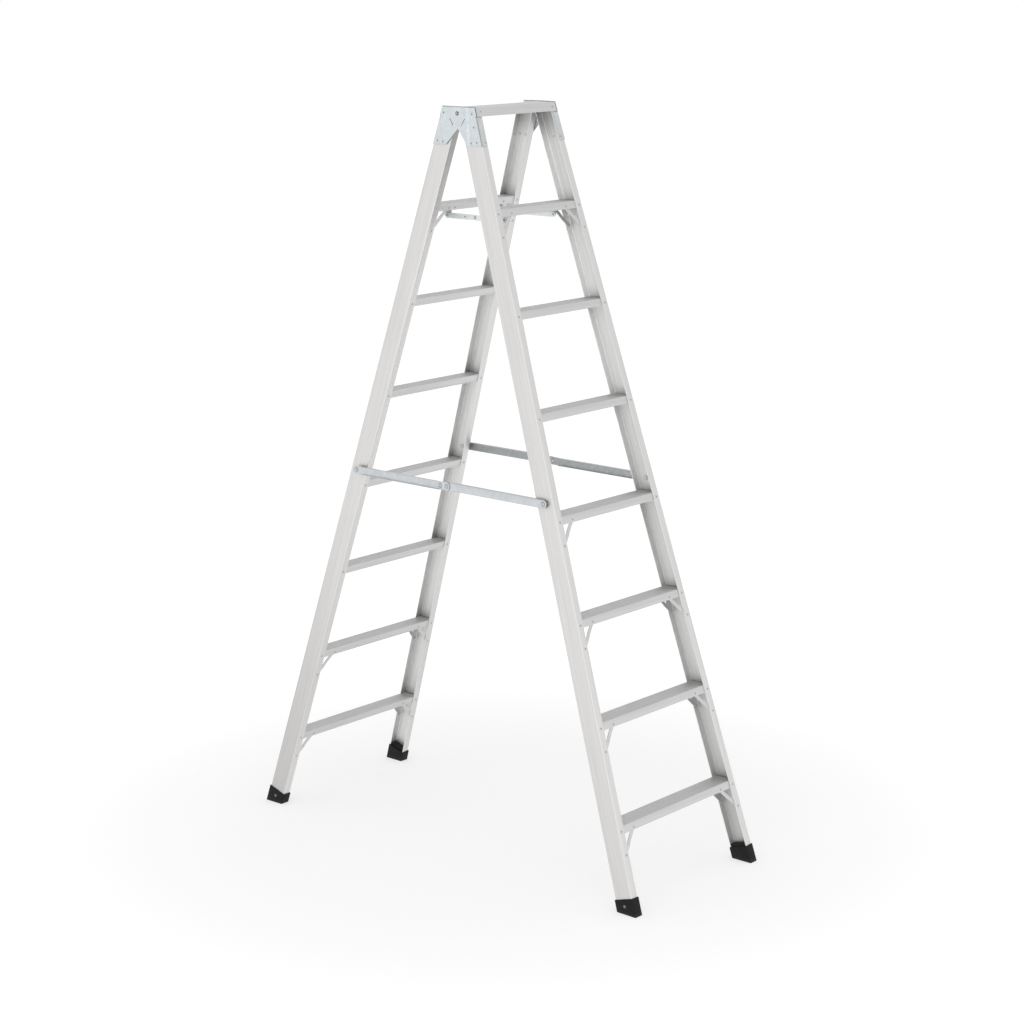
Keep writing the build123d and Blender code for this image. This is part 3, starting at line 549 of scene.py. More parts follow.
def blind_rivet(grip):
    """Half section of a set blind rivet, from the mandrel's broken end over the head to the tail."""
    eye = RIVET_EYE_RADIUS
    floor = RIVET_HEAD_HEIGHT - RIVET_EYE_DEPTH
    head = dome(RIVET_HEAD_RADIUS, RIVET_HEAD_HEIGHT, eye + 0.25 * MM)
    lip = head[0, 1]
    mandrel = [(0.55 * eye, floor + 0.3 * MM), (0.75 * eye, floor + 0.2 * MM), (0.8 * eye, floor),
               (eye, floor), (eye, lip - 0.2 * MM), (eye + 0.08 * MM, lip - 0.05 * MM)]
    shank = [(RIVET_HEAD_RADIUS, 0.04 * MM), (RIVET_HEAD_RADIUS - 0.1 * MM, 0),
             (RIVET_RADIUS, 0), (RIVET_RADIUS, -grip)]
    bulge = np.array([(0.9, 0), (1, 0.25), (1, 0.6), (0.85, 0.9), (0.6, 1)])
    tail = bulge * (RIVET_TAIL_RADIUS, -RIVET_TAIL_HEIGHT) - (0, grip)
    return np.vstack([mandrel, head, shank, tail])


def standing(half_section, spots, axis, segments=24):
    """Half sections of (radius, height) turned about an axis at each spot: circles of points, ring by ring.

    A spot is three coordinates and way, the sign in which the head looks along the axis, 0, 1 or 2.
    """
    angle = np.arange(segments) * 2 * np.pi / segments
    radius, height = half_section.T[:, :, None]
    spots = np.asarray(spots).T[:, :, None, None]
    offsets = [radius * np.cos(angle), radius * np.sin(angle)]
    offsets.insert(axis, spots[3] * height)
    return stacked(*[spot + offset for spot, offset in zip(spots, offsets)])


def flange_spot(height, depth, way, from_web):
    """A left-hand rivet's spot (x, depth, along, way) at a height and a depth, some way in from the web."""
    along = along_at(height, depth)
    return left_web(along) + from_web, depth, along, way


def brace_spots(numbers, row, depths):
    """Left-hand brace rivets of a row, 0 on skirts and 1 on flanges, at an outer and an inner depth."""
    spots = []
    for number in numbers:
        for (face, way), depth in zip(FLANGE_FACES, depths):
            x, along = brace_ends(number, face)[row]
            spots.append((x, depth, along, way))
    return spots


def formed_metal(name, dim_tone, bright, eye, rough):
    """Metal formed cold in a die, as on a rivet's head: smooth, faint orange-peel, painted shade in recesses
    and at rims.
    """
    material, tree = new_material(name)
    place = node(tree, "TexCoord")["Object"]
    peel = node(tree, "TexNoise", {"Vector": place, "Scale": 1 / PEEL_GRAIN, "Detail": 3.0})[0]
    grey = toned(tree, peel, NOISE_LOW, NOISE_HIGH, linear(dim_tone), linear(bright))
    head_shade = node(tree, "Attribute", attribute_name="edge")["Fac"]
    colour = toned(tree, head_shade, 0, 1, grey, linear(eye))
    less, more = PEEL_SWING
    shaded(tree, colour, (peel, rough - less, rough + more), (peel, *PEEL_RELIEF), METAL)
    return material


def set_rivets(end_name, kind, heads, finish):
    """Places the blind rivets of a kind at an end."""
    rivets = swept(f"{end_name}_{kind}_blind_rivets", np.concatenate(heads), eye_shade)
    placed(rivets, [finish], f"{end_name}_frame", "aluminium_rivet", f"{end_name}_{kind}_rivets")


# The third colour is shade painted in each rivet's eye: full in the middle, fading out a little past its
# edge.
rivet_finish = formed_metal("rivet_formed_aluminium", "#B2B4B5", "#C6C8C9", "#48494A", 0.38)
radius = blind_rivet(0)[:, :1]
in_eye = np.arange(len(radius))[:, None] < EYE_POINTS
eye_shade = in_eye * np.clip(EYE_SHADE_REACH - radius / RIVET_EYE_RADIUS, 0, 1)
steps = [flange_spot(tread_height(number) - STEP_RIVET_DROP, depth, way, STEP_RIVET_INSET)
         for number in range(1, STEP_COUNT + 1) for depth, way in FLANGE_FACES]
top_height = tread_height(STEP_COUNT + 1) - STEP_RIVET_DROP
top_rivet = flange_spot(top_height, TOP_SKIRT_FRONT, -1, TOP_RIVET_INSET)
for end_name, end in ENDS.items():
    heads = []
    leg_middle = TAB_X[end_name] + (BRACKET_WALL + BRACKET_LEG_WIDTH) / 2
    bracket = (leg_middle, SKIRT_BACK, STAY_ALONG + BRACKET_RIVET_RISE, 1)
    for side_name, side in SIDES.items():
        numbers = BRACED[end_name, side_name]
        sets = [(FLANGE_GRIP, steps + [top_rivet] * (end_name == "front")),
                (SKIRT_WALL + BRACE_WALL, brace_spots(numbers, 0, (SKIRT_FRONT, SKIRT_BACK))),
                (RAIL_FLANGE_WALL + BRACE_WALL, brace_spots(numbers, 1, (0, RAIL_DEPTH))),
                (SKIRT_WALL + BRACKET_FIT + BRACKET_WALL, [bracket])]
        heads += [in_frame(standing(blind_rivet(grip), spots, 1), side, end) for grip, spots in sets]
    set_rivets(end_name, "frame", heads, rivet_finish)

# Boots
# Moulded black rubber cups round the rail feet, with a core that fills the channel and stands a little
# above the cup. The mould leaves a matt, finely pitted skin with eased edges, and the floor leaves dust near
# the sole.
BOOT_WALL = 3 * MM
BOOT_TOP = 55 * MM
BOOT_CORNER = 2.5 * MM
BOOT_FIT = 0.15 * MM
BOOT_RIM = 0.9 * MM
BOOT_MOUTH_EASE = 0.4 * MM
BOOT_MOUTH_DROP = 0.5 * MM
SOLE_EASE = 1.2 * MM
CORE_RISE = 9 * MM
CORE_RECESS = 2 * MM
CORE_SEAT = 1 * MM
CORE_EASE = 1.0 * MM
CORE_CORNER = 1.0 * MM
CORE_TOP_CORNER = 1.2 * MM
CORE_STEP_EASE = 0.4 * MM
CORE_STEP_DROP = 0.6 * MM
BOOT_RIVET_UP = 34 * MM
FLOOR_DUST = 0.8
FLOOR_DUST_HEIGHT = 14 * MM
PIT = 1.0 * MM  # coarser than the mould's own grain, which is too fine to show
PIT_RELIEF = (0.35, 0.15 * MM)
PIT_ROUGHNESS = (0.55, 0.72)
SCUFF_PATCH = 14 * MM
SCUFF_TONES = (0.45, 0.75)
RUBBER = {"IOR": 1.52, "Specular IOR Level": 0.2}
QUARTER_TURN = np.linspace(0, np.pi / 2, 4)


def boot_rings(rows):
    """Rings of a boot in (inset, depth, up): rounded rectangles between the two corners that a row gives.

    A row goes on with a corner radius, a height level with the floor, a height square to the rail, and the
    ring's share of the way from the first to the second.
    """
    rings = []
    for low, high, radius, level, square, share in rows:
        ring = rounded([low, (high[0], low[1]), high, (low[0], high[1])], radius)[0].T
        foot = rail_foot(*ring, level)
        rings.append(stacked(*ring, foot + (square - foot) * share))
    return np.array(rings)


def cup_rows():
    """The cup: up its outside from an eased sole, over a round rim and down its inside, row by row."""
    rim = BOOT_TOP - BOOT_RIM
    fit = BOOT_WALL - BOOT_FIT
    rows = [(SOLE_EASE * (1 - np.sin(turn)), BOOT_CORNER, SOLE_EASE * (1 - np.cos(turn)), 0, 0)
            for turn in QUARTER_TURN]
    rows += [(0, BOOT_CORNER, SOLE_EASE, rim, share) for share in (0.3, 0.6, 1)]
    rows += [(BOOT_RIM * (1 - np.cos(turn)), BOOT_CORNER, 0, rim + BOOT_RIM * np.sin(turn), 1)
             for turn in QUARTER_TURN[1:]]
    rows += [(fit - BOOT_MOUTH_EASE, RAIL_CORNER, 0, BOOT_TOP, 1),
             (fit, RAIL_CORNER, 0, BOOT_TOP - BOOT_MOUTH_DROP, 1), (fit, RAIL_CORNER, SOLE, 0, 0)]
    outside = np.array([RAIL_FLANGE, RAIL_DEPTH]) + BOOT_WALL
    return [((draw_in - BOOT_WALL,) * 2, outside - draw_in, *rest) for draw_in, *rest in rows]


def core_rows():
    """The core: it fills the channel up to the cup's rim, steps in at the mouth and ends in a soft top."""
    low = np.array([RAIL_WEB_WALL, RAIL_FLANGE_WALL]) + BOOT_FIT
    full = np.array([RAIL_FLANGE + BOOT_FIT, RAIL_DEPTH - RAIL_FLANGE_WALL - BOOT_FIT])
    short = full - np.array([CORE_RECESS + BOOT_FIT, 0])
    side_top = BOOT_TOP + CORE_RISE - CORE_EASE
    rows = [(low, full, CORE_CORNER, SOLE - CORE_SEAT, 0, 0),
            (low, full, CORE_CORNER, 0, BOOT_TOP - CORE_STEP_DROP, 1),
            (low, full - CORE_STEP_EASE, CORE_CORNER, 0, BOOT_TOP, 1),
            (low, short, CORE_CORNER, 0, BOOT_TOP, 1), (low, short, CORE_CORNER, 0, side_top, 1)]
    for turn in QUARTER_TURN[1:]:
        draw_in = CORE_EASE * (1 - np.cos(turn))
        height = side_top + CORE_EASE * np.sin(turn)
        rows.append((low + draw_in, short - draw_in, CORE_TOP_CORNER, 0, height, 1))
    return rows


def moulded_rubber(name, black, scuffed, overlay):
    """Matt black rubber from a mould: a pitted skin, paler scuffs, and floor dust that thins out upwards."""
    material, tree = new_material(name)
    place = node(tree, "TexCoord")["Object"]
    pits = node(tree, "TexNoise", {"Vector": place, "Scale": 1 / PIT, "Detail": 2.0})[0]
    patches = node(tree, "TexNoise", {"Vector": place, "Scale": 1 / SCUFF_PATCH, "Detail": 4.0})[0]
    skin = toned(tree, patches, *SCUFF_TONES, linear(black), linear(scuffed))
    height = node(tree, "SeparateXYZ", {0: place})["Z"]
    low = node(tree, "MapRange", {0: height, 1: 0.0, 2: FLOOR_DUST_HEIGHT, 3: FLOOR_DUST, 4: 0.0})[0]
    dusty = node(tree, "Math", {0: low, 1: patches}, operation="MULTIPLY")[0]
    colour = toned(tree, dusty, 0, 1, skin, linear(overlay))
    shaded(tree, colour, (pits, *PIT_ROUGHNESS), (pits, *PIT_RELIEF), RUBBER)
    return material


rubber_finish = moulded_rubber("boot_moulded_rubber", "#18181A", "#232324", "#4C4B4A")
# The boot rivets' third colour is shade painted in their eyes, as on the others.
boot_rivet_finish = formed_metal("boot_rivet_dulled_aluminium", "#7A7C7D", "#8A8C8D", "#2E2F30", 0.5)
boot_spot = (-BOOT_WALL, RAIL_DEPTH / 2, BOOT_RIVET_UP, -1)
boot_rivet = standing(blind_rivet(BOOT_WALL + RAIL_WEB_WALL), [boot_spot], 0)
for end_name, end in ENDS.items():
    for side_name, side in SIDES.items():
        name = f"{end_name}_{side_name}_boot"
        for shape, rows in (("cup", cup_rows()), ("core", core_rows())):
            boot = swept(f"{name}_{shape}", on_rail(boot_rings(rows), side, end))
            placed(boot, [rubber_finish], f"{end_name}_frame", "boot_rubber", name)
    heads = [on_rail(boot_rivet, side, end) for side in SIDES.values()]
    set_rivets(end_name, "boot", heads, boot_rivet_finish)

# Hinge plates
# Pressed steel plates, zinc plated, riveted to the rail tops and folded over the outer flanges. The front
# plate steps out into a tongue that laps over the rear plate and carries the pivot. Zinc gives a cool grey
# with a cloudy bloom.
PLATE_WALL = 2.0 * MM
PLATE_RISE = 20 * MM
PLATE_DROP = 91 * MM
PLATE_RETURN = 22 * MM
PLATE_RETURN_TOP = -8.5 * MM
PLATE_BEND = 2.0 * MM
PLATE_BEND_END = PLATE_BEND - PLATE_WALL / 2
PLATE_START = PLATE_BEND_END + 0.02 * MM
PLATE_CORNER_REACH = 43 * MM
NOTCH_DROP = 46 * MM
NOTCH_REACH = 5 * MM
REAR_PLATE_GAP = 0.7 * MM
EAR_SWEEP = radians(84)
TONGUE_LIFT = 4.4 * MM
TONGUE_REACH = 36 * MM
TONGUE_SHOULDER = 33 * MM
TONGUE_CORNER_DROP = 36 * MM
STEP_RUN = 8 * MM
SLIT_WIDTH = 2.0 * MM
SLIT_UPPER = (29 * MM, -15.5 * MM)
SLIT_LOWER = (16.5 * MM, -34 * MM)
SLIT_ARC_POINTS = 9
PLATE_RIVETS = [(11 * MM, 0), (14 * MM, -81 * MM), (35 * MM, -83 * MM)]
FRONT_PLATE_RIVET = (14 * MM, -38 * MM)
RETURN_RIVET_INSET = 16 * MM
RETURN_RIVET_DROP = 81 * MM
EASED_EDGE = np.array([0, 0.15, 0.5]) * MM  # rows in from an end edge
EASED_WALL = [0.55, 0.85]  # share of the wall at the first two of them
RETURN_EDGE = 3 * MM
# Rows across a plate's section, as shares of its height: crowded at both edges.
SECTION_SHARES = np.concatenate([[0, 0.012, 0.024], np.linspace(0.05, 0.95, 36), [0.976, 0.988, 1]])
# How dark a section is painted: 1 at its sheared edges, which are unplated and also painted as shade.
SECTION_EDGE_DARK = np.interp(SECTION_SHARES, [0, 0.012, 0.024, 0.976, 0.988, 1], [1, 0.2, 0, 0, 0.4, 1])
LEAST_SLOPE = 0.1 * MM
LOWER_EDGE_DARK = 0.15
STEP_SHADE = 0.15
BEND_SHADE = [0.6, 1, 1, 0.7, 0.3, 0]
ZINC_CLOUD = 16 * MM
ZINC_FLECK = 4 * MM  # coarser than the plating's own flecks, which are too fine to show
ZINC_TONES = (0.6, 1.4)  # low and high of clouds and flecks together
ZINC_SWING = (0.07, 0.05)
FLECK_RELIEF = (0.12, 0.15 * MM)


def hinge_spot(away, rise):
    """Place on the left web as (depth, up), by a distance to the hinge line and a rise over the pivot."""
    reach = HALF_SPREAD - away
    height = PIVOT_HEIGHT + rise
    return np.stack([reach * np.cos(LEAN) - height * np.sin(LEAN),
                     (reach * np.sin(LEAN) + height * np.cos(LEAN)) / np.cos(TAPER)], axis=-1)


def web_away(depth, rise):
    """Distance to the hinge line of a depth on the web, at a height over the pivot."""
    return HALF_SPREAD - (depth + (PIVOT_HEIGHT + rise) * np.sin(LEAN)) / np.cos(LEAN)


def web_up(depth, rise):
    """Distance up the rail of a depth on the web, at a height over the pivot."""
    return along_at(PIVOT_HEIGHT + rise, depth) / np.cos(TAPER)


def wall_section(low, high, lower_dark):
    """Thin sections of a plate between two places of (depth, up): up the outer, down the inner face.

    Both edges are half circles. Returns each point's place, its height off the middle surface, its rise past
    the place and how dark it is painted: points crowd near the edges, so that the dark of the sheared edge
    runs into the plating over a millimetre or two. The sheared edges are unplated and painted darker as the
    shade along them: the upper edge fully, and the last argument tells by how much the lower edge is.
    """
    half = PLATE_WALL / 2
    turn = np.linspace(0, np.pi, 5)[1:-1]
    flat = np.ones(len(SECTION_SHARES))
    edge = np.ones(len(turn))
    out = half * np.concatenate([flat, np.cos(turn), -flat, -np.cos(turn)])
    past = half * np.concatenate([0 * flat, np.sin(turn), 0 * flat, -np.sin(turn)])
    share = np.concatenate([SECTION_SHARES, edge, SECTION_SHARES[::-1], 0 * edge])
    worn = np.concatenate([SECTION_EDGE_DARK, edge, SECTION_EDGE_DARK[::-1], edge])
    worn = worn * np.where(share < 0.5, lower_dark[:, None], 1)
    inner = half / (high - low)[:, 1:] * (1 - 2 * share)
    return low[:, None] + (high - low)[:, None] * (share + inner)[..., None], out, past, worn


def flat_rings(offset, bottom, top, lift, lower_dark):
    """The flat of a hinge plate in (inset, depth, up): a middle surface ruled from a bottom to a top edge.

    bottom and top are rows of (away, rise) across the web, lift is each row's height off the seat, and the
    last argument tells how dark its lower edge is painted. Four rows come first for the strip above the
    fold, and the wall thins at both ends to ease them. Where the plate steps, shade is painted a little
    darker, by the slope of lift.
    """
    depth = np.append(EASED_EDGE - PLATE_WALL, PLATE_BEND_END)
    strip = [stacked(web_away(depth, rise), rise) for rise in (PLATE_RETURN_TOP, PLATE_RISE)]
    low, high = [hinge_spot(*np.vstack(rows).T) for rows in zip(strip, (bottom, top))]
    inset = -offset - PLATE_WALL / 2 - np.concatenate([np.zeros(len(depth)), lift])
    wall = np.ones(len(inset))
    wall[:2] = EASED_WALL
    wall[-2:] = EASED_WALL[::-1]
    spot, out, past, worn = wall_section(low, high, np.concatenate([np.ones(len(depth)), lower_dark]))
    # Shade painted a little darker over the step, by its slope.
    slope = np.abs(np.gradient(inset))
    dim_tone = STEP_SHADE * slope / max(slope.max(), LEAST_SLOPE)
    rings = stacked(inset[:, None] - wall[:, None] * out, spot[..., 0], spot[..., 1] + past)
    return rings, np.maximum(worn, dim_tone[:, None])


def fold_rings(offset):
    """The fold of a hinge plate in (inset, depth, up): flat on the outer flange, then a quarter bend.

    A line of shade is painted dark along the bend.
    """
    half = PLATE_WALL / 2
    inner = np.linspace(PLATE_RETURN - RETURN_EDGE, PLATE_BEND, 5)
    flat = np.concatenate([PLATE_RETURN - EASED_EDGE, inner])
    bend = np.linspace(0, np.pi / 2, len(BEND_SHADE) + 1)[1:]
    turn = np.concatenate([0 * flat, bend])
    inset = np.concatenate([flat, PLATE_BEND + 0 * bend]) - (PLATE_BEND + half + offset) * np.sin(turn)
    depth = PLATE_BEND_END - PLATE_BEND * np.cos(turn)
    low, high = [np.stack([depth, web_up(depth, rise)], axis=1) for rise in (-PLATE_DROP, PLATE_RETURN_TOP)]
    wall = np.ones(len(inset))
    wall[:2] = EASED_WALL
    spot, out, past, worn = wall_section(low, high, np.full(len(inset), LOWER_EDGE_DARK))
    thick = wall[:, None] * out
    rings = stacked(inset[:, None] - np.sin(turn)[:, None] * thick,
                    spot[..., 0] - np.cos(turn)[:, None] * thick, spot[..., 1] + past)
    return rings, np.maximum(worn, np.concatenate([0 * flat, BEND_SHADE])[:, None])


def between(stops, counts):
    """Points along straight runs through the stops, with so many steps to each run."""
    stops = np.asarray(stops, float)
    runs = [np.linspace(stops[i], stops[i + 1], count, endpoint=False) for i, count in enumerate(counts)]
    return np.concatenate([*runs, stops[-1:]])


def front_plate_rings():
    """The front plate: flat on the web, stepped up before the hinge line, then a tongue past it."""
    low, high = -PLATE_DROP, PLATE_RISE
    counts = [12, 10, 14, 12, 1, 1]
    ends = EASED_EDGE[::-1] - TONGUE_REACH
    bottom = [(web_away(PLATE_START, low), low), (PLATE_CORNER_REACH + STEP_RUN, low),
              (PLATE_CORNER_REACH, low), (NOTCH_REACH, -NOTCH_DROP),
              *[(away, -TONGUE_CORNER_DROP) for away in ends]]
    top = [(web_away(PLATE_START, high), high), (TONGUE_SHOULDER + STEP_RUN, high), (TONGUE_SHOULDER, high),
           (NOTCH_REACH, high), *[(away, high) for away in ends]]
    row = between(range(len(top)), counts)
    lift = TONGUE_LIFT * step_between(row, 1, 2)
    lower_dark = np.full(len(row), LOWER_EDGE_DARK)
    return flat_rings(0, between(bottom, counts), between(top, counts), lift, lower_dark)


def rear_plate_rings():
    """The rear plate, drawn at the front: flat, ending in a round ear on the pivot."""
    low, high = -PLATE_DROP, PLATE_RISE
    counts = [16, 14]
    bottom = [(web_away(PLATE_START, low), low), (PLATE_CORNER_REACH, low), (0, -NOTCH_DROP)]
    top = [(web_away(PLATE_START, high), high), (TONGUE_SHOULDER, high), (0, high)]
    angle = np.linspace(0, EAR_SWEEP, 11)[1:]
    ear = -PLATE_RISE * np.sin(angle)
    bottom = np.vstack([between(bottom, counts), stacked(ear, -NOTCH_DROP * (1 + ear / PLATE_RISE))])
    top = np.vstack([between(top, counts), stacked(ear, PLATE_RISE * np.cos(angle))])
    # The rear plate's notch and ear edges are painted fully dark, as shade; the rest of its lower edge a
    # little.
    lower_dark = np.where(bottom[:, 1] > -PLATE_DROP, 1, LOWER_EDGE_DARK)
    return flat_rings(REAR_PLATE_GAP, bottom, top, np.zeros(len(bottom)), lower_dark)


def slit_cutter(hand):
    """A round-ended slit through the tongue in (inset, depth, up); hand 1 is the front one, -1 the rear."""
    start = hinge_spot(hand * SLIT_UPPER[0], SLIT_UPPER[1])
    run = hinge_spot(hand * SLIT_LOWER[0], SLIT_LOWER[1]) - start
    length = np.linalg.norm(run)
    run /= length
    angle = np.linspace(0, np.pi, SLIT_ARC_POINTS)
    angle = np.concatenate([angle, angle + np.pi])
    reach = np.repeat([length, 0], SLIT_ARC_POINTS) + SLIT_WIDTH / 2 * np.sin(angle)
    across = SLIT_WIDTH / 2 * np.cos(angle)
    spot = start + reach[:, None] * run + across[:, None] * np.array([run[1], -run[0]])
    inset = np.array([-TONGUE_LIFT - 2 * PLATE_WALL, -TONGUE_LIFT + PLATE_WALL])
    return stacked(inset[:, None], spot[:, 0], spot[:, 1])


def cut(piece, cutter):
    """Cuts the piece with the cutter, which is then removed."""
    saw = piece.modifiers.new("slit", "BOOLEAN")
    saw.operation = "DIFFERENCE"
    saw.solver = "EXACT"
    saw.object = cutter
    done = bpy.data.meshes.new_from_object(piece.evaluated_get(bpy.context.evaluated_depsgraph_get()))
    piece.modifiers.clear()
    piece.data = done
    bpy.data.objects.remove(cutter)


def zinc_plate(name, dim_tone, bright, edge_colour, rough):
    """Pressed steel with bright zinc: cool grey, faintly cloudy, finely flecked, with an edge colour at
    sheared and worn edges and where shade is painted.
    """
    material, tree = new_material(name)
    place = node(tree, "TexCoord")["Object"]
    clouds = node(tree, "TexNoise", {
        "Vector": place, "Scale": 1 / ZINC_CLOUD, "Detail": 5.0, "Roughness": 0.6})[0]
    flecks = node(tree, "TexNoise", {"Vector": place, "Scale": 1 / ZINC_FLECK, "Detail": 2.0})[0]
    both = node(tree, "Math", {0: clouds, 1: flecks}, operation="ADD")[0]
    grey = toned(tree, both, *ZINC_TONES, linear(dim_tone), linear(bright))
    worn = node(tree, "Attribute", attribute_name="edge")["Fac"]
    colour = toned(tree, worn, 0, 1, grey, linear(edge_colour))
    more, less = ZINC_SWING
    shaded(tree, colour, (clouds, rough + more, rough - less), (flecks, *FLECK_RELIEF), METAL)
    return material


# Its edge colour is a dark grey: unplated steel at the sheared edges, and the shade painted along them and
# over the step.
plate_finish = zinc_plate("hinge_plate_zinc", "#C4CACD", "#D3D9DC", "#73777A", 0.42)
# The fold is a shaded copy of the plate's zinc: a little greyer and less blue than the flat, lighter on the
# bend's painted shade.
fold_shaded_finish = zinc_plate("hinge_fold_zinc_painted_shade", "#C0C4C5", "#CFD3D4", "#929697", 0.46)
fold_spot = flange_spot(PIVOT_HEIGHT - RETURN_RIVET_DROP, -PLATE_WALL, -1, RETURN_RIVET_INSET)
fold_rivet = standing(blind_rivet(PLATE_WALL + RAIL_FLANGE_WALL), [fold_spot], 1)
for end_name, end in ENDS.items():
    is_front = end_name == "front"
    offset = 0 if is_front else REAR_PLATE_GAP
    web_spots = [(-offset - PLATE_WALL, depth, web_up(depth, rise), -1)
                 for depth, rise in PLATE_RIVETS + [FRONT_PLATE_RIVET] * is_front]
    web_rivets = standing(blind_rivet(offset + PLATE_WALL + RAIL_WEB_WALL), web_spots, 0)
    heads = []
    for side_name, side in SIDES.items():
        name = f"{end_name}_{side_name}_hinge_plate"
        rings, plate_edge = front_plate_rings() if is_front else rear_plate_rings()
        plate = swept(f"{name}_pressing", on_rail(rings, side, end), plate_edge)
        if is_front:
            for hand in (1, -1):
                cut(plate, swept("slit_cutter", on_rail(slit_cutter(hand), side, end)))
        placed(plate, [plate_finish], f"{end_name}_frame", "zinc_steel", name)
        rings, plate_edge = fold_rings(offset)
        fold = swept(f"{name}_fold", on_rail(rings, side, end), plate_edge)
        placed(fold, [fold_shaded_finish], f"{end_name}_frame", "zinc_steel", name)
        heads += [on_rail(web_rivets, side, end), in_frame(fold_rivet, side, end)]
    set_rivets(end_name, "hinge", heads, rivet_finish)

# Hinge pivots
# Steel rivets through the tongue and the rear plate's ear, zinc plated and set over at the inner end. The
# setting tool leaves a ring pressed in the head; shade is painted dark in the ring and a little out over the
# rim, as a dark circle round a bright middle.
PIVOT_RADIUS = 4.0 * MM
PIVOT_RING = (3.0 * MM, 5.2 * MM)
PIVOT_RING_DEPTH = 1.5 * MM
PIVOT_RING_SHADE = [0, 0.3, 0.6, 1, 1]
PIVOT_RIM_SHADE = 0.8
PIVOT_HEAD_RADIUS = 6.5 * MM
PIVOT_HEAD_HEIGHT = 2.0 * MM
PIVOT_TAIL_RADIUS = 6.0 * MM
PIVOT_TAIL_HEIGHT = 2.0 * MM
PIVOT_SEAT_GAP = 0.5 * MM
PIVOT_SEGMENTS = 32
PIVOT_WEB = left_web(HALF_SPREAD * np.sin(LEAN) + PIVOT_HEIGHT * np.cos(LEAN))


def ringed_rivet(grip):
    """Half section of a pivot, from the middle of its head out: a boss, a ring pressed in, a rim and a tail.

    Also returns how dark each point is painted as shade: 1 on the ring's floor, 0 on the boss, and less out
    over the rim.
    """
    inner, outer = PIVOT_RING
    ease = 0.2 * MM
    floor = PIVOT_HEAD_HEIGHT - PIVOT_RING_DEPTH
    head = dome(PIVOT_HEAD_RADIUS, PIVOT_HEAD_HEIGHT, 0.3 * MM, steps=24)
    boss = head[head[:, 0] < inner - ease]
    rim = head[head[:, 0] > outer + ease]
    ring = [(inner, boss[-1, 1] - ease), (inner + 0.05 * MM, floor + ease), (inner + ease, floor),
            (outer - ease, floor), (outer, floor + 0.1 * MM)]
    tail = PIVOT_TAIL_RADIUS
    end = -grip - PIVOT_TAIL_HEIGHT
    rest = [(PIVOT_HEAD_RADIUS, 0.1 * MM), (PIVOT_HEAD_RADIUS - 0.1 * MM, 0), (PIVOT_RADIUS, 0),
            (PIVOT_RADIUS, -grip), (tail - 0.3 * MM, -grip), (tail, -grip - 0.5 * MM),
            (tail - 0.3 * MM, end + 0.5 * MM), (tail - 1.2 * MM, end), (0.3 * MM, end)]
    spread = PIVOT_RIM_SHADE * step_between(rim[:, 0], PIVOT_HEAD_RADIUS, outer)
    head_shade = np.concatenate([np.zeros(len(boss)), PIVOT_RING_SHADE, spread, np.zeros(len(rest))])
    return np.vstack([boss, ring, rim, rest]), head_shade[:, None]


def both_sides(points, end):
    """World points of the front left quarter, at the left and the right of an end."""
    return np.concatenate([in_world(points, side, end) for side in SIDES.values()])


# Its third colour is shade painted in the pivots' rings, in the stay pivots' eyes and round the seats of
# rivet heads.
steel_finish = formed_metal("pivot_zinc_steel", "#A9AEB2", "#BFC4C8", "#3C3E40", 0.36)
head_seat = PIVOT_WEB - TONGUE_LIFT - PLATE_WALL - PIVOT_SEAT_GAP
pivot, ring_shade = ringed_rivet(PIVOT_WEB - REAR_PLATE_GAP + PIVOT_SEAT_GAP - head_seat)
pivot = standing(pivot, [(head_seat, 0, PIVOT_HEIGHT, -1)], 0, PIVOT_SEGMENTS)
pivots = swept("hinge_ring_pivots", both_sides(pivot, ENDS["front"]), ring_shade)
placed(pivots, [steel_finish], "front_frame", "steel_rivet", "hinge_pivots")

# Lower spreaders
# Two folding links a side, pressed from steel strip with a lip along each edge and zinc plated. Each hangs
# on a shouldered rivet through its rail's web, and the two meet at a rivet in the middle, with a stop rivet
# beside it.
SPREADER_ALONG = 1208 * MM
SPREADER_HEIGHT = 25 * MM
SPREADER_LIP = 8 * MM
SPREADER_WALL = 1.6 * MM
SPREADER_WEB_GAP = 1.4 * MM
SPREADER_GAP = 0.4 * MM
LINK_EDGE_ROUND = 1.8 * MM
LINK_LIP_ROUND = 0.5 * MM
LINK_FILLET = 0.6 * MM
LINK_ARC_STEPS = 5
LIP_CUT_BACK = 24 * MM
LIP_RAMP = 9 * MM
LIP_LEFT = 0.02  # share of a lip's height that is left where it is cut back
LINK_RIVET_RADIUS = 4.0 * MM
LINK_HEAD_RADIUS = 7.0 * MM
LINK_HEAD_HEIGHT = 2.2 * MM
LINK_SHOULDER_RADIUS = 6.5 * MM
LINK_SHOULDER_GAP = 0.4 * MM
SEAT_SHADE_REACH = 1.8 * MM
JOINT_STOP_REACH = 25 * MM
SPREADER_X = left_web(SPREADER_ALONG)
SPREADER_Y = SPREADER_ALONG * np.sin(LEAN) + RAIL_DEPTH / 2 * np.cos(LEAN) - HALF_SPREAD
SPREADER_Z = SPREADER_ALONG * np.cos(LEAN) - RAIL_DEPTH / 2 * np.sin(LEAN)
STAND = {"front": SPREADER_WEB_GAP + SPREADER_LIP}
STAND["rear"] = STAND["front"] + SPREADER_GAP + SPREADER_WALL


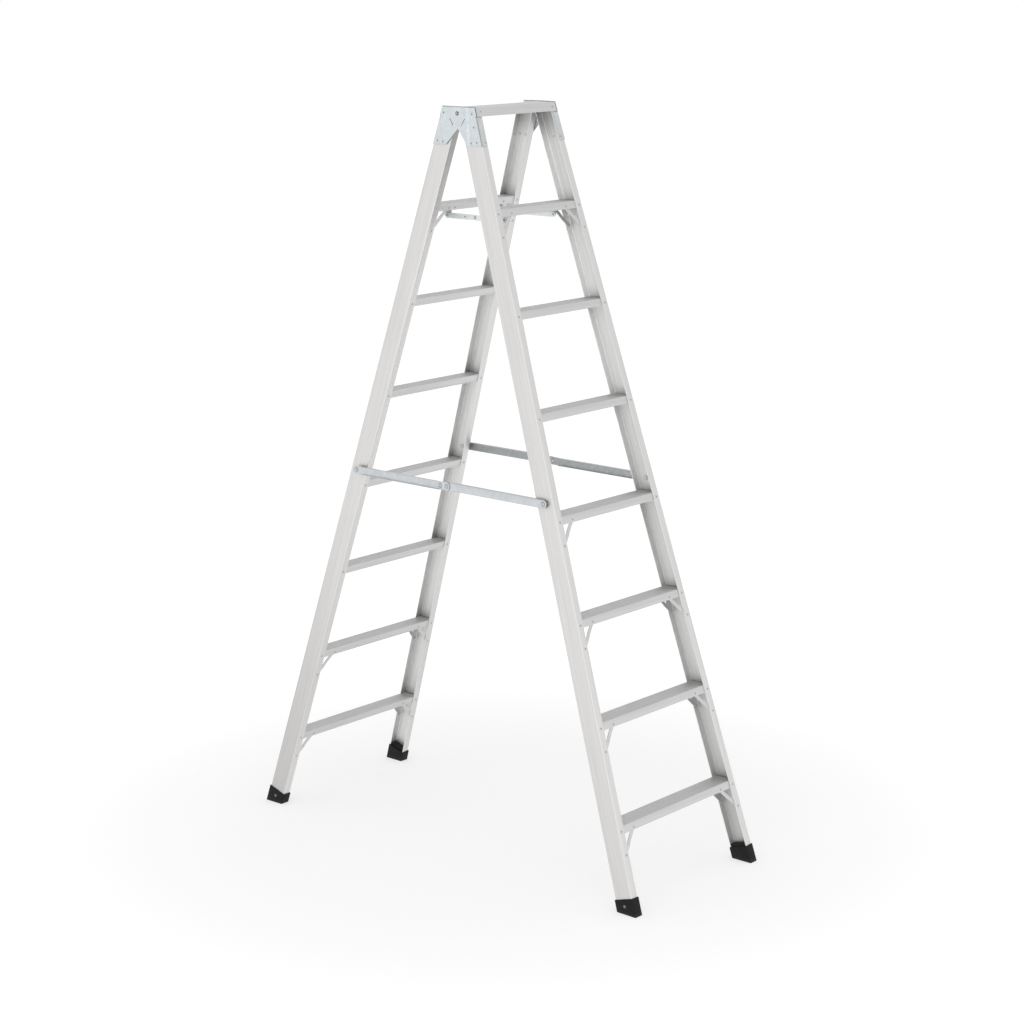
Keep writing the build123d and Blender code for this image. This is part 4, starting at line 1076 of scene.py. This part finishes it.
def link_grid(length):
    """A spreader link as rings of (run, across, in from its flat face), with its first rivet at run 0.

    The ring is a channel with rolled edges, and its lips rise over a short ramp, a cut-back in from each
    rivet. Also returns how worn each point is, and the number of each strip round the ring: 0 is the flat
    face, and 3 to 5 lie inside the channel.
    """
    radius = SPREADER_HEIGHT / 2
    wall, lip = SPREADER_WALL, SPREADER_LIP
    half = [(radius, 0), (radius, lip), (radius - wall, lip), (radius - wall, wall)]
    radii = [LINK_EDGE_ROUND, LINK_LIP_ROUND, LINK_LIP_ROUND, LINK_FILLET]
    corners = half + [(-across, deep) for across, deep in half[::-1]]
    ring, worn = rounded(np.roll(corners, 1, axis=0), np.roll(radii + radii[::-1], 1), LINK_ARC_STEPS)
    start = LIP_CUT_BACK - LIP_RAMP / 2
    rising = np.linspace(start, start + LIP_RAMP, 7)
    middle = np.linspace(rising[-1], length - rising[-1], 12)[1:-1]
    inner = np.concatenate([rising, middle, length - rising[::-1]])
    run, share = round_ended(length, SPREADER_HEIGHT, inner, 10)
    rise = LIP_LEFT + (1 - LIP_LEFT) * step_between(np.minimum(run, length - run), start, start + LIP_RAMP)
    across, deep = ring.T
    lipped = np.where(deep > wall, wall + (deep - wall) * rise, deep)
    return stacked(run, share * across, lipped), worn, np.arange(len(ring)) // LINK_ARC_STEPS


def solid_rivet(steps, radius, height):
    """Half section of a solid rivet: a dome from its top, then steps of (radius, reach) down the shank."""
    head = dome(radius, height, 0.4 * MM, steps=9)
    points = [(radius, 0.05 * MM), (radius - 0.1 * MM, 0)]
    start = 0
    for step_radius, reach in steps:
        points += [(step_radius, -start), (step_radius, -reach)]
        start = reach
    return np.vstack([head, points, [(0.4 * MM, -start)]])


def seat_shade(half_section):
    """Painted shade on a solid rivet, ring by ring: 1 at the rim where its head sits, falling to 0 over a
    short reach.
    """
    radius, height = half_section.T
    near = np.clip(1 - np.abs(radius - radius.max()) / SEAT_SHADE_REACH, 0, 1)
    return (near * (height >= 0))[:, None]


def hung(end_name, kind, link_name, link, edge, finishes, strips, stud, studs):
    """Places a folding link and the heads of its middle rivets, which ride on it, on both sides."""
    end = ENDS[end_name]
    heads = standing(stud, studs, 0)
    stud_name = f"{end_name}_{kind}_stud" + "s" * (len(studs) > 1)
    for side_name, side in SIDES.items():
        name = f"{side_name}_{end_name}_{kind}"
        piece = swept(f"{name}_{link_name}", in_world(link, side, end), edge, strips)
        placed(piece, finishes, name, "zinc_steel", name)
        piece = swept(f"{side_name}_{stud_name}_heads", in_world(heads, side, end), seat_shade(stud))
        placed(piece, [steel_finish], name, "steel_rivet", f"{side_name}_{stud_name}")


link_finish = zinc_plate("spreader_zinc", "#BCC0C2", "#CBCFD1", "#A9ADAF", 0.4)
# The faces of the links that look into the ladder are a shaded copy of the zinc, painted darker as shade.
inner_shaded_finish = zinc_plate("spreader_inner_zinc_painted_shade", "#9FA2A3", "#AFB2B3", "#9A9EA0", 0.5)
links, link_edge, strip = link_grid(-SPREADER_Y)
run, across, deep = np.moveaxis(links, -1, 0)
stud = solid_rivet([(LINK_RIVET_RADIUS, SPREADER_WALL)], LINK_HEAD_RADIUS, LINK_HEAD_HEIGHT)
for end_name, end in ENDS.items():
    flat = SPREADER_X - STAND[end_name]
    if end_name == "front":
        link_x = flat + deep
        looks_in = (strip >= 3) & (strip <= 5)
        studs = [(flat + SPREADER_WALL, 0, SPREADER_Z, 1)]
    else:
        link_x = flat + SPREADER_WALL - deep
        looks_in = strip == 0
        studs = [(flat, 0, SPREADER_Z, -1), (flat, -JOINT_STOP_REACH, SPREADER_Z, -1)]
    link = stacked(link_x, SPREADER_Y + run, SPREADER_Z + across)
    hung(end_name, "spreader", "link", link, link_edge, [link_finish, inner_shaded_finish], looks_in, stud, studs)
    shoulder_end = SEAT_GAP + STAND[end_name] - LINK_SHOULDER_GAP
    tail_start = shoulder_end + 2 * LINK_SHOULDER_GAP + RAIL_WEB_WALL
    shank = [(LINK_RIVET_RADIUS, 2 * SEAT_GAP + SPREADER_WALL), (LINK_SHOULDER_RADIUS, shoulder_end),
             (LINK_RIVET_RADIUS, tail_start), (LINK_SHOULDER_RADIUS, tail_start + LINK_HEAD_HEIGHT)]
    hanger = solid_rivet(shank, LINK_HEAD_RADIUS, LINK_HEAD_HEIGHT)
    hangers = both_sides(standing(hanger, [(flat - SEAT_GAP, SPREADER_Y, SPREADER_Z, -1)], 0), end)
    piece = swept(f"{end_name}_spreader_hangers", hangers, seat_shade(hanger))
    placed(piece, [steel_finish], f"{end_name}_frame", "steel_rivet", f"{end_name}_spreader_rivets")

# Upper stays
# Two flat steel straps a side, zinc plated, that hang on small angle brackets under the seventh treads and
# fold down at a rivet in the middle. The brackets are pressed from the same strip.
STAY_HEIGHT = 16 * MM
STAY_STOP_REACH = 42 * MM
STAY_Y = STAY_ALONG * np.sin(LEAN) + STAY_DEPTH * np.cos(LEAN) - HALF_SPREAD
STAY_Z = STAY_ALONG * np.cos(LEAN) - STAY_DEPTH * np.sin(LEAN)
BRACKET_EASE = 0.35 * MM
BRACKET_SHARP_ANGLE = radians(40)
BRACKET_FLAT_ANGLE = radians(1)
WELD_REACH = 0.001 * MM

# The straps are a lit copy of the zinc that the brackets share: painted much paler, as light.
stay_lit_finish = zinc_plate("stay_zinc_painted_light", "#E0E4E4", "#EDF0F0", "#D2D6D6", 0.6)
strap, strap_edge = strap_grid(-STAY_Y, STAY_HEIGHT, STAY_WALL)
run, across, out = np.moveaxis(strap, -1, 0)
stay_stud = solid_rivet([(RIVET_RADIUS, STAY_WALL)], RIVET_HEAD_RADIUS, RIVET_HEAD_HEIGHT)
stay_pivot = blind_rivet(BRACKET_WALL + STAY_WALL + 2 * SEAT_GAP)
for end_name, end in ENDS.items():
    inner_x = STRAP_X[end_name]
    if end_name == "front":
        studs = [(inner_x, 0, STAY_Z, -1)]
        pivot_spot = (TAB_X[end_name], STAY_Y, STAY_Z, -1)
    else:
        studs = [(inner_x + STAY_WALL, 0, STAY_Z, 1), (inner_x + STAY_WALL, -STAY_STOP_REACH, STAY_Z, 1)]
        pivot_spot = (TAB_X[end_name] + BRACKET_WALL, STAY_Y, STAY_Z, 1)
    rings = stacked(inner_x + out, STAY_Y + run, STAY_Z + across)
    hung(end_name, "stay", "strap", rings, strap_edge, [stay_lit_finish], 0, stay_stud, studs)
    pivots = both_sides(standing(stay_pivot, [pivot_spot], 0), end)
    piece = swept(f"{end_name}_stay_pivots", pivots, eye_shade)
    placed(piece, [steel_finish], f"{end_name}_frame", "steel_rivet", f"{end_name}_stay_rivets")
    pressing = bmesh.new()
    pressing.from_mesh(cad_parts[f"{end_name}_stay_brackets"].data)
    bmesh.ops.remove_doubles(pressing, verts=pressing.verts, dist=WELD_REACH)
    bmesh.ops.dissolve_limit(pressing, angle_limit=BRACKET_FLAT_ANGLE,
                             verts=pressing.verts, edges=pressing.edges)
    bracket_mesh = bpy.data.meshes.new(f"{end_name}_stay_angles")
    pressing.to_mesh(bracket_mesh)
    pressing.free()
    bracket_mesh.materials.clear()
    brackets = bpy.data.objects.new(f"{end_name}_stay_angles", bracket_mesh)
    bpy.context.scene.collection.objects.link(brackets)
    ease = brackets.modifiers.new("eased_edges", "BEVEL")
    ease.width = BRACKET_EASE
    ease.segments = 2
    ease.limit_method = "ANGLE"
    ease.angle_limit = BRACKET_SHARP_ANGLE
    placed(brackets, [link_finish], f"{end_name}_frame", "zinc_steel", f"{end_name}_stay_brackets")

# Floor, lamps and camera
# A white sweep with no edge in sight, a little greyer under the ladder, an even dome, four broad and dim
# lamps (a key from the left front, two fills and one overhead) and a camera at the photo's angle.
FLOOR_HALF_SIZE = 30.0
FLOOR_FADE = {1: 0.7, 2: 2.2, 3: 0.61, 4: 0.76}  # two distances from the middle, and the glow at each
MIRRORED_GLOW = 0.15
DOME_LIGHT = {3: 0.6, 4: 1.0}  # strength as light, and as seen by the camera and by metal
WHITE = linear("#FFFFFF")
# Square lamps that face the middle of the ladder: place, size and power.
LAMPS = {"key": ((-3.4, -1.8, 2.4), 5.0, 33), "front_fill": ((0, -3.2, 1.0), 3.0, 8),
         "side_fill": ((-2.45, 2.06, 3.2), 2.5, 4), "overhead": ((0, 0, 4.5), 3.0, 13)}
LADDER_MIDDLE = Vector((0, 0, 1))
CAMERA_SENSOR = 36.0
CAMERA_LENS = 84.85
CAMERA_PLACE = (-5.3798, -4.7436, 2.6776)
CAMERA_TURNS = ((-48.8536, "Z"), (77.0086, "X"), (-0.2019, "Z"))


def seen_rays(tree):
    """1 on rays from the camera or by way of metal or glass, 0 on others; and 1 on those by way of metal."""
    path = node(tree, "LightPath")
    seen = path["Is Camera Ray"]
    for kind in ("Is Glossy Ray", "Is Transmission Ray"):
        seen = node(tree, "Math", {0: seen, 1: path[kind]}, operation="MAXIMUM")[0]
    return seen, path["Is Glossy Ray"]


floor_mesh = bpy.data.meshes.new("floor")
floor_corners = FLOOR_HALF_SIZE * np.array([(-1, -1, 0), (1, -1, 0), (1, 1, 0), (-1, 1, 0)])
floor_mesh.from_pydata(floor_corners.tolist(), [], [(0, 1, 2, 3)])
floor = bpy.data.objects.new("floor", floor_mesh)
bpy.context.scene.collection.objects.link(floor)

floor_paint, tree = new_material("floor_white_paper")
seen, mirrored = seen_rays(tree)
place = node(tree, "TexCoord")["Object"]
away = node(tree, "VectorMath", {0: place}, operation="LENGTH")["Value"]
fade = node(tree, "MapRange", {0: away, **FLOOR_FADE}, interpolation_type="SMOOTHSTEP")[0]
glow = node(tree, "Math", {0: mirrored, 1: MIRRORED_GLOW, 2: fade}, operation="MULTIPLY_ADD")[0]
glow = node(tree, "Math", {0: seen, 1: glow}, operation="MULTIPLY")[0]
paper = node(tree, "BsdfDiffuse", {"Color": linear("#B4B4B4")})[0]
lit = node(tree, "Emission", {"Color": WHITE, "Strength": glow})[0]
total = node(tree, "AddShader", {0: paper, 1: lit})[0]
node(tree, "OutputMaterial", {"Surface": total})
floor_mesh.materials.append(floor_paint)

world = bpy.data.worlds.new("studio")
bpy.context.scene.world = world
world.use_nodes = True
tree = world.node_tree
tree.nodes.clear()
strength = node(tree, "MapRange", {0: seen_rays(tree)[0], **DOME_LIGHT})[0]
dome_light = node(tree, "Background", {"Color": WHITE, "Strength": strength})[0]
node(tree, "OutputWorld", {"Surface": dome_light})

for name, (spot, size, power) in LAMPS.items():
    lamp = bpy.data.lights.new(name, "AREA")
    lamp.size = size
    lamp.energy = power
    holder = bpy.data.objects.new(name, lamp)
    facing = (LADDER_MIDDLE - Vector(spot)).to_track_quat("-Z", "Y")
    holder.matrix_world = Matrix.Translation(spot) @ facing.to_matrix().to_4x4()
    holder.visible_camera = False
    bpy.context.scene.collection.objects.link(holder)

camera = bpy.data.cameras.new("camera")
camera.sensor_width = CAMERA_SENSOR
camera.lens = CAMERA_LENS
camera_holder = bpy.data.objects.new("camera", camera)
bpy.context.scene.collection.objects.link(camera_holder)
bpy.context.scene.camera = camera_holder
stance = Matrix.Translation(CAMERA_PLACE)
for turn, axis in CAMERA_TURNS:
    stance = stance @ Matrix.Rotation(radians(turn), 4, axis)
camera_holder.matrix_world = stance
bpy.context.scene.view_settings.view_transform = "Standard"
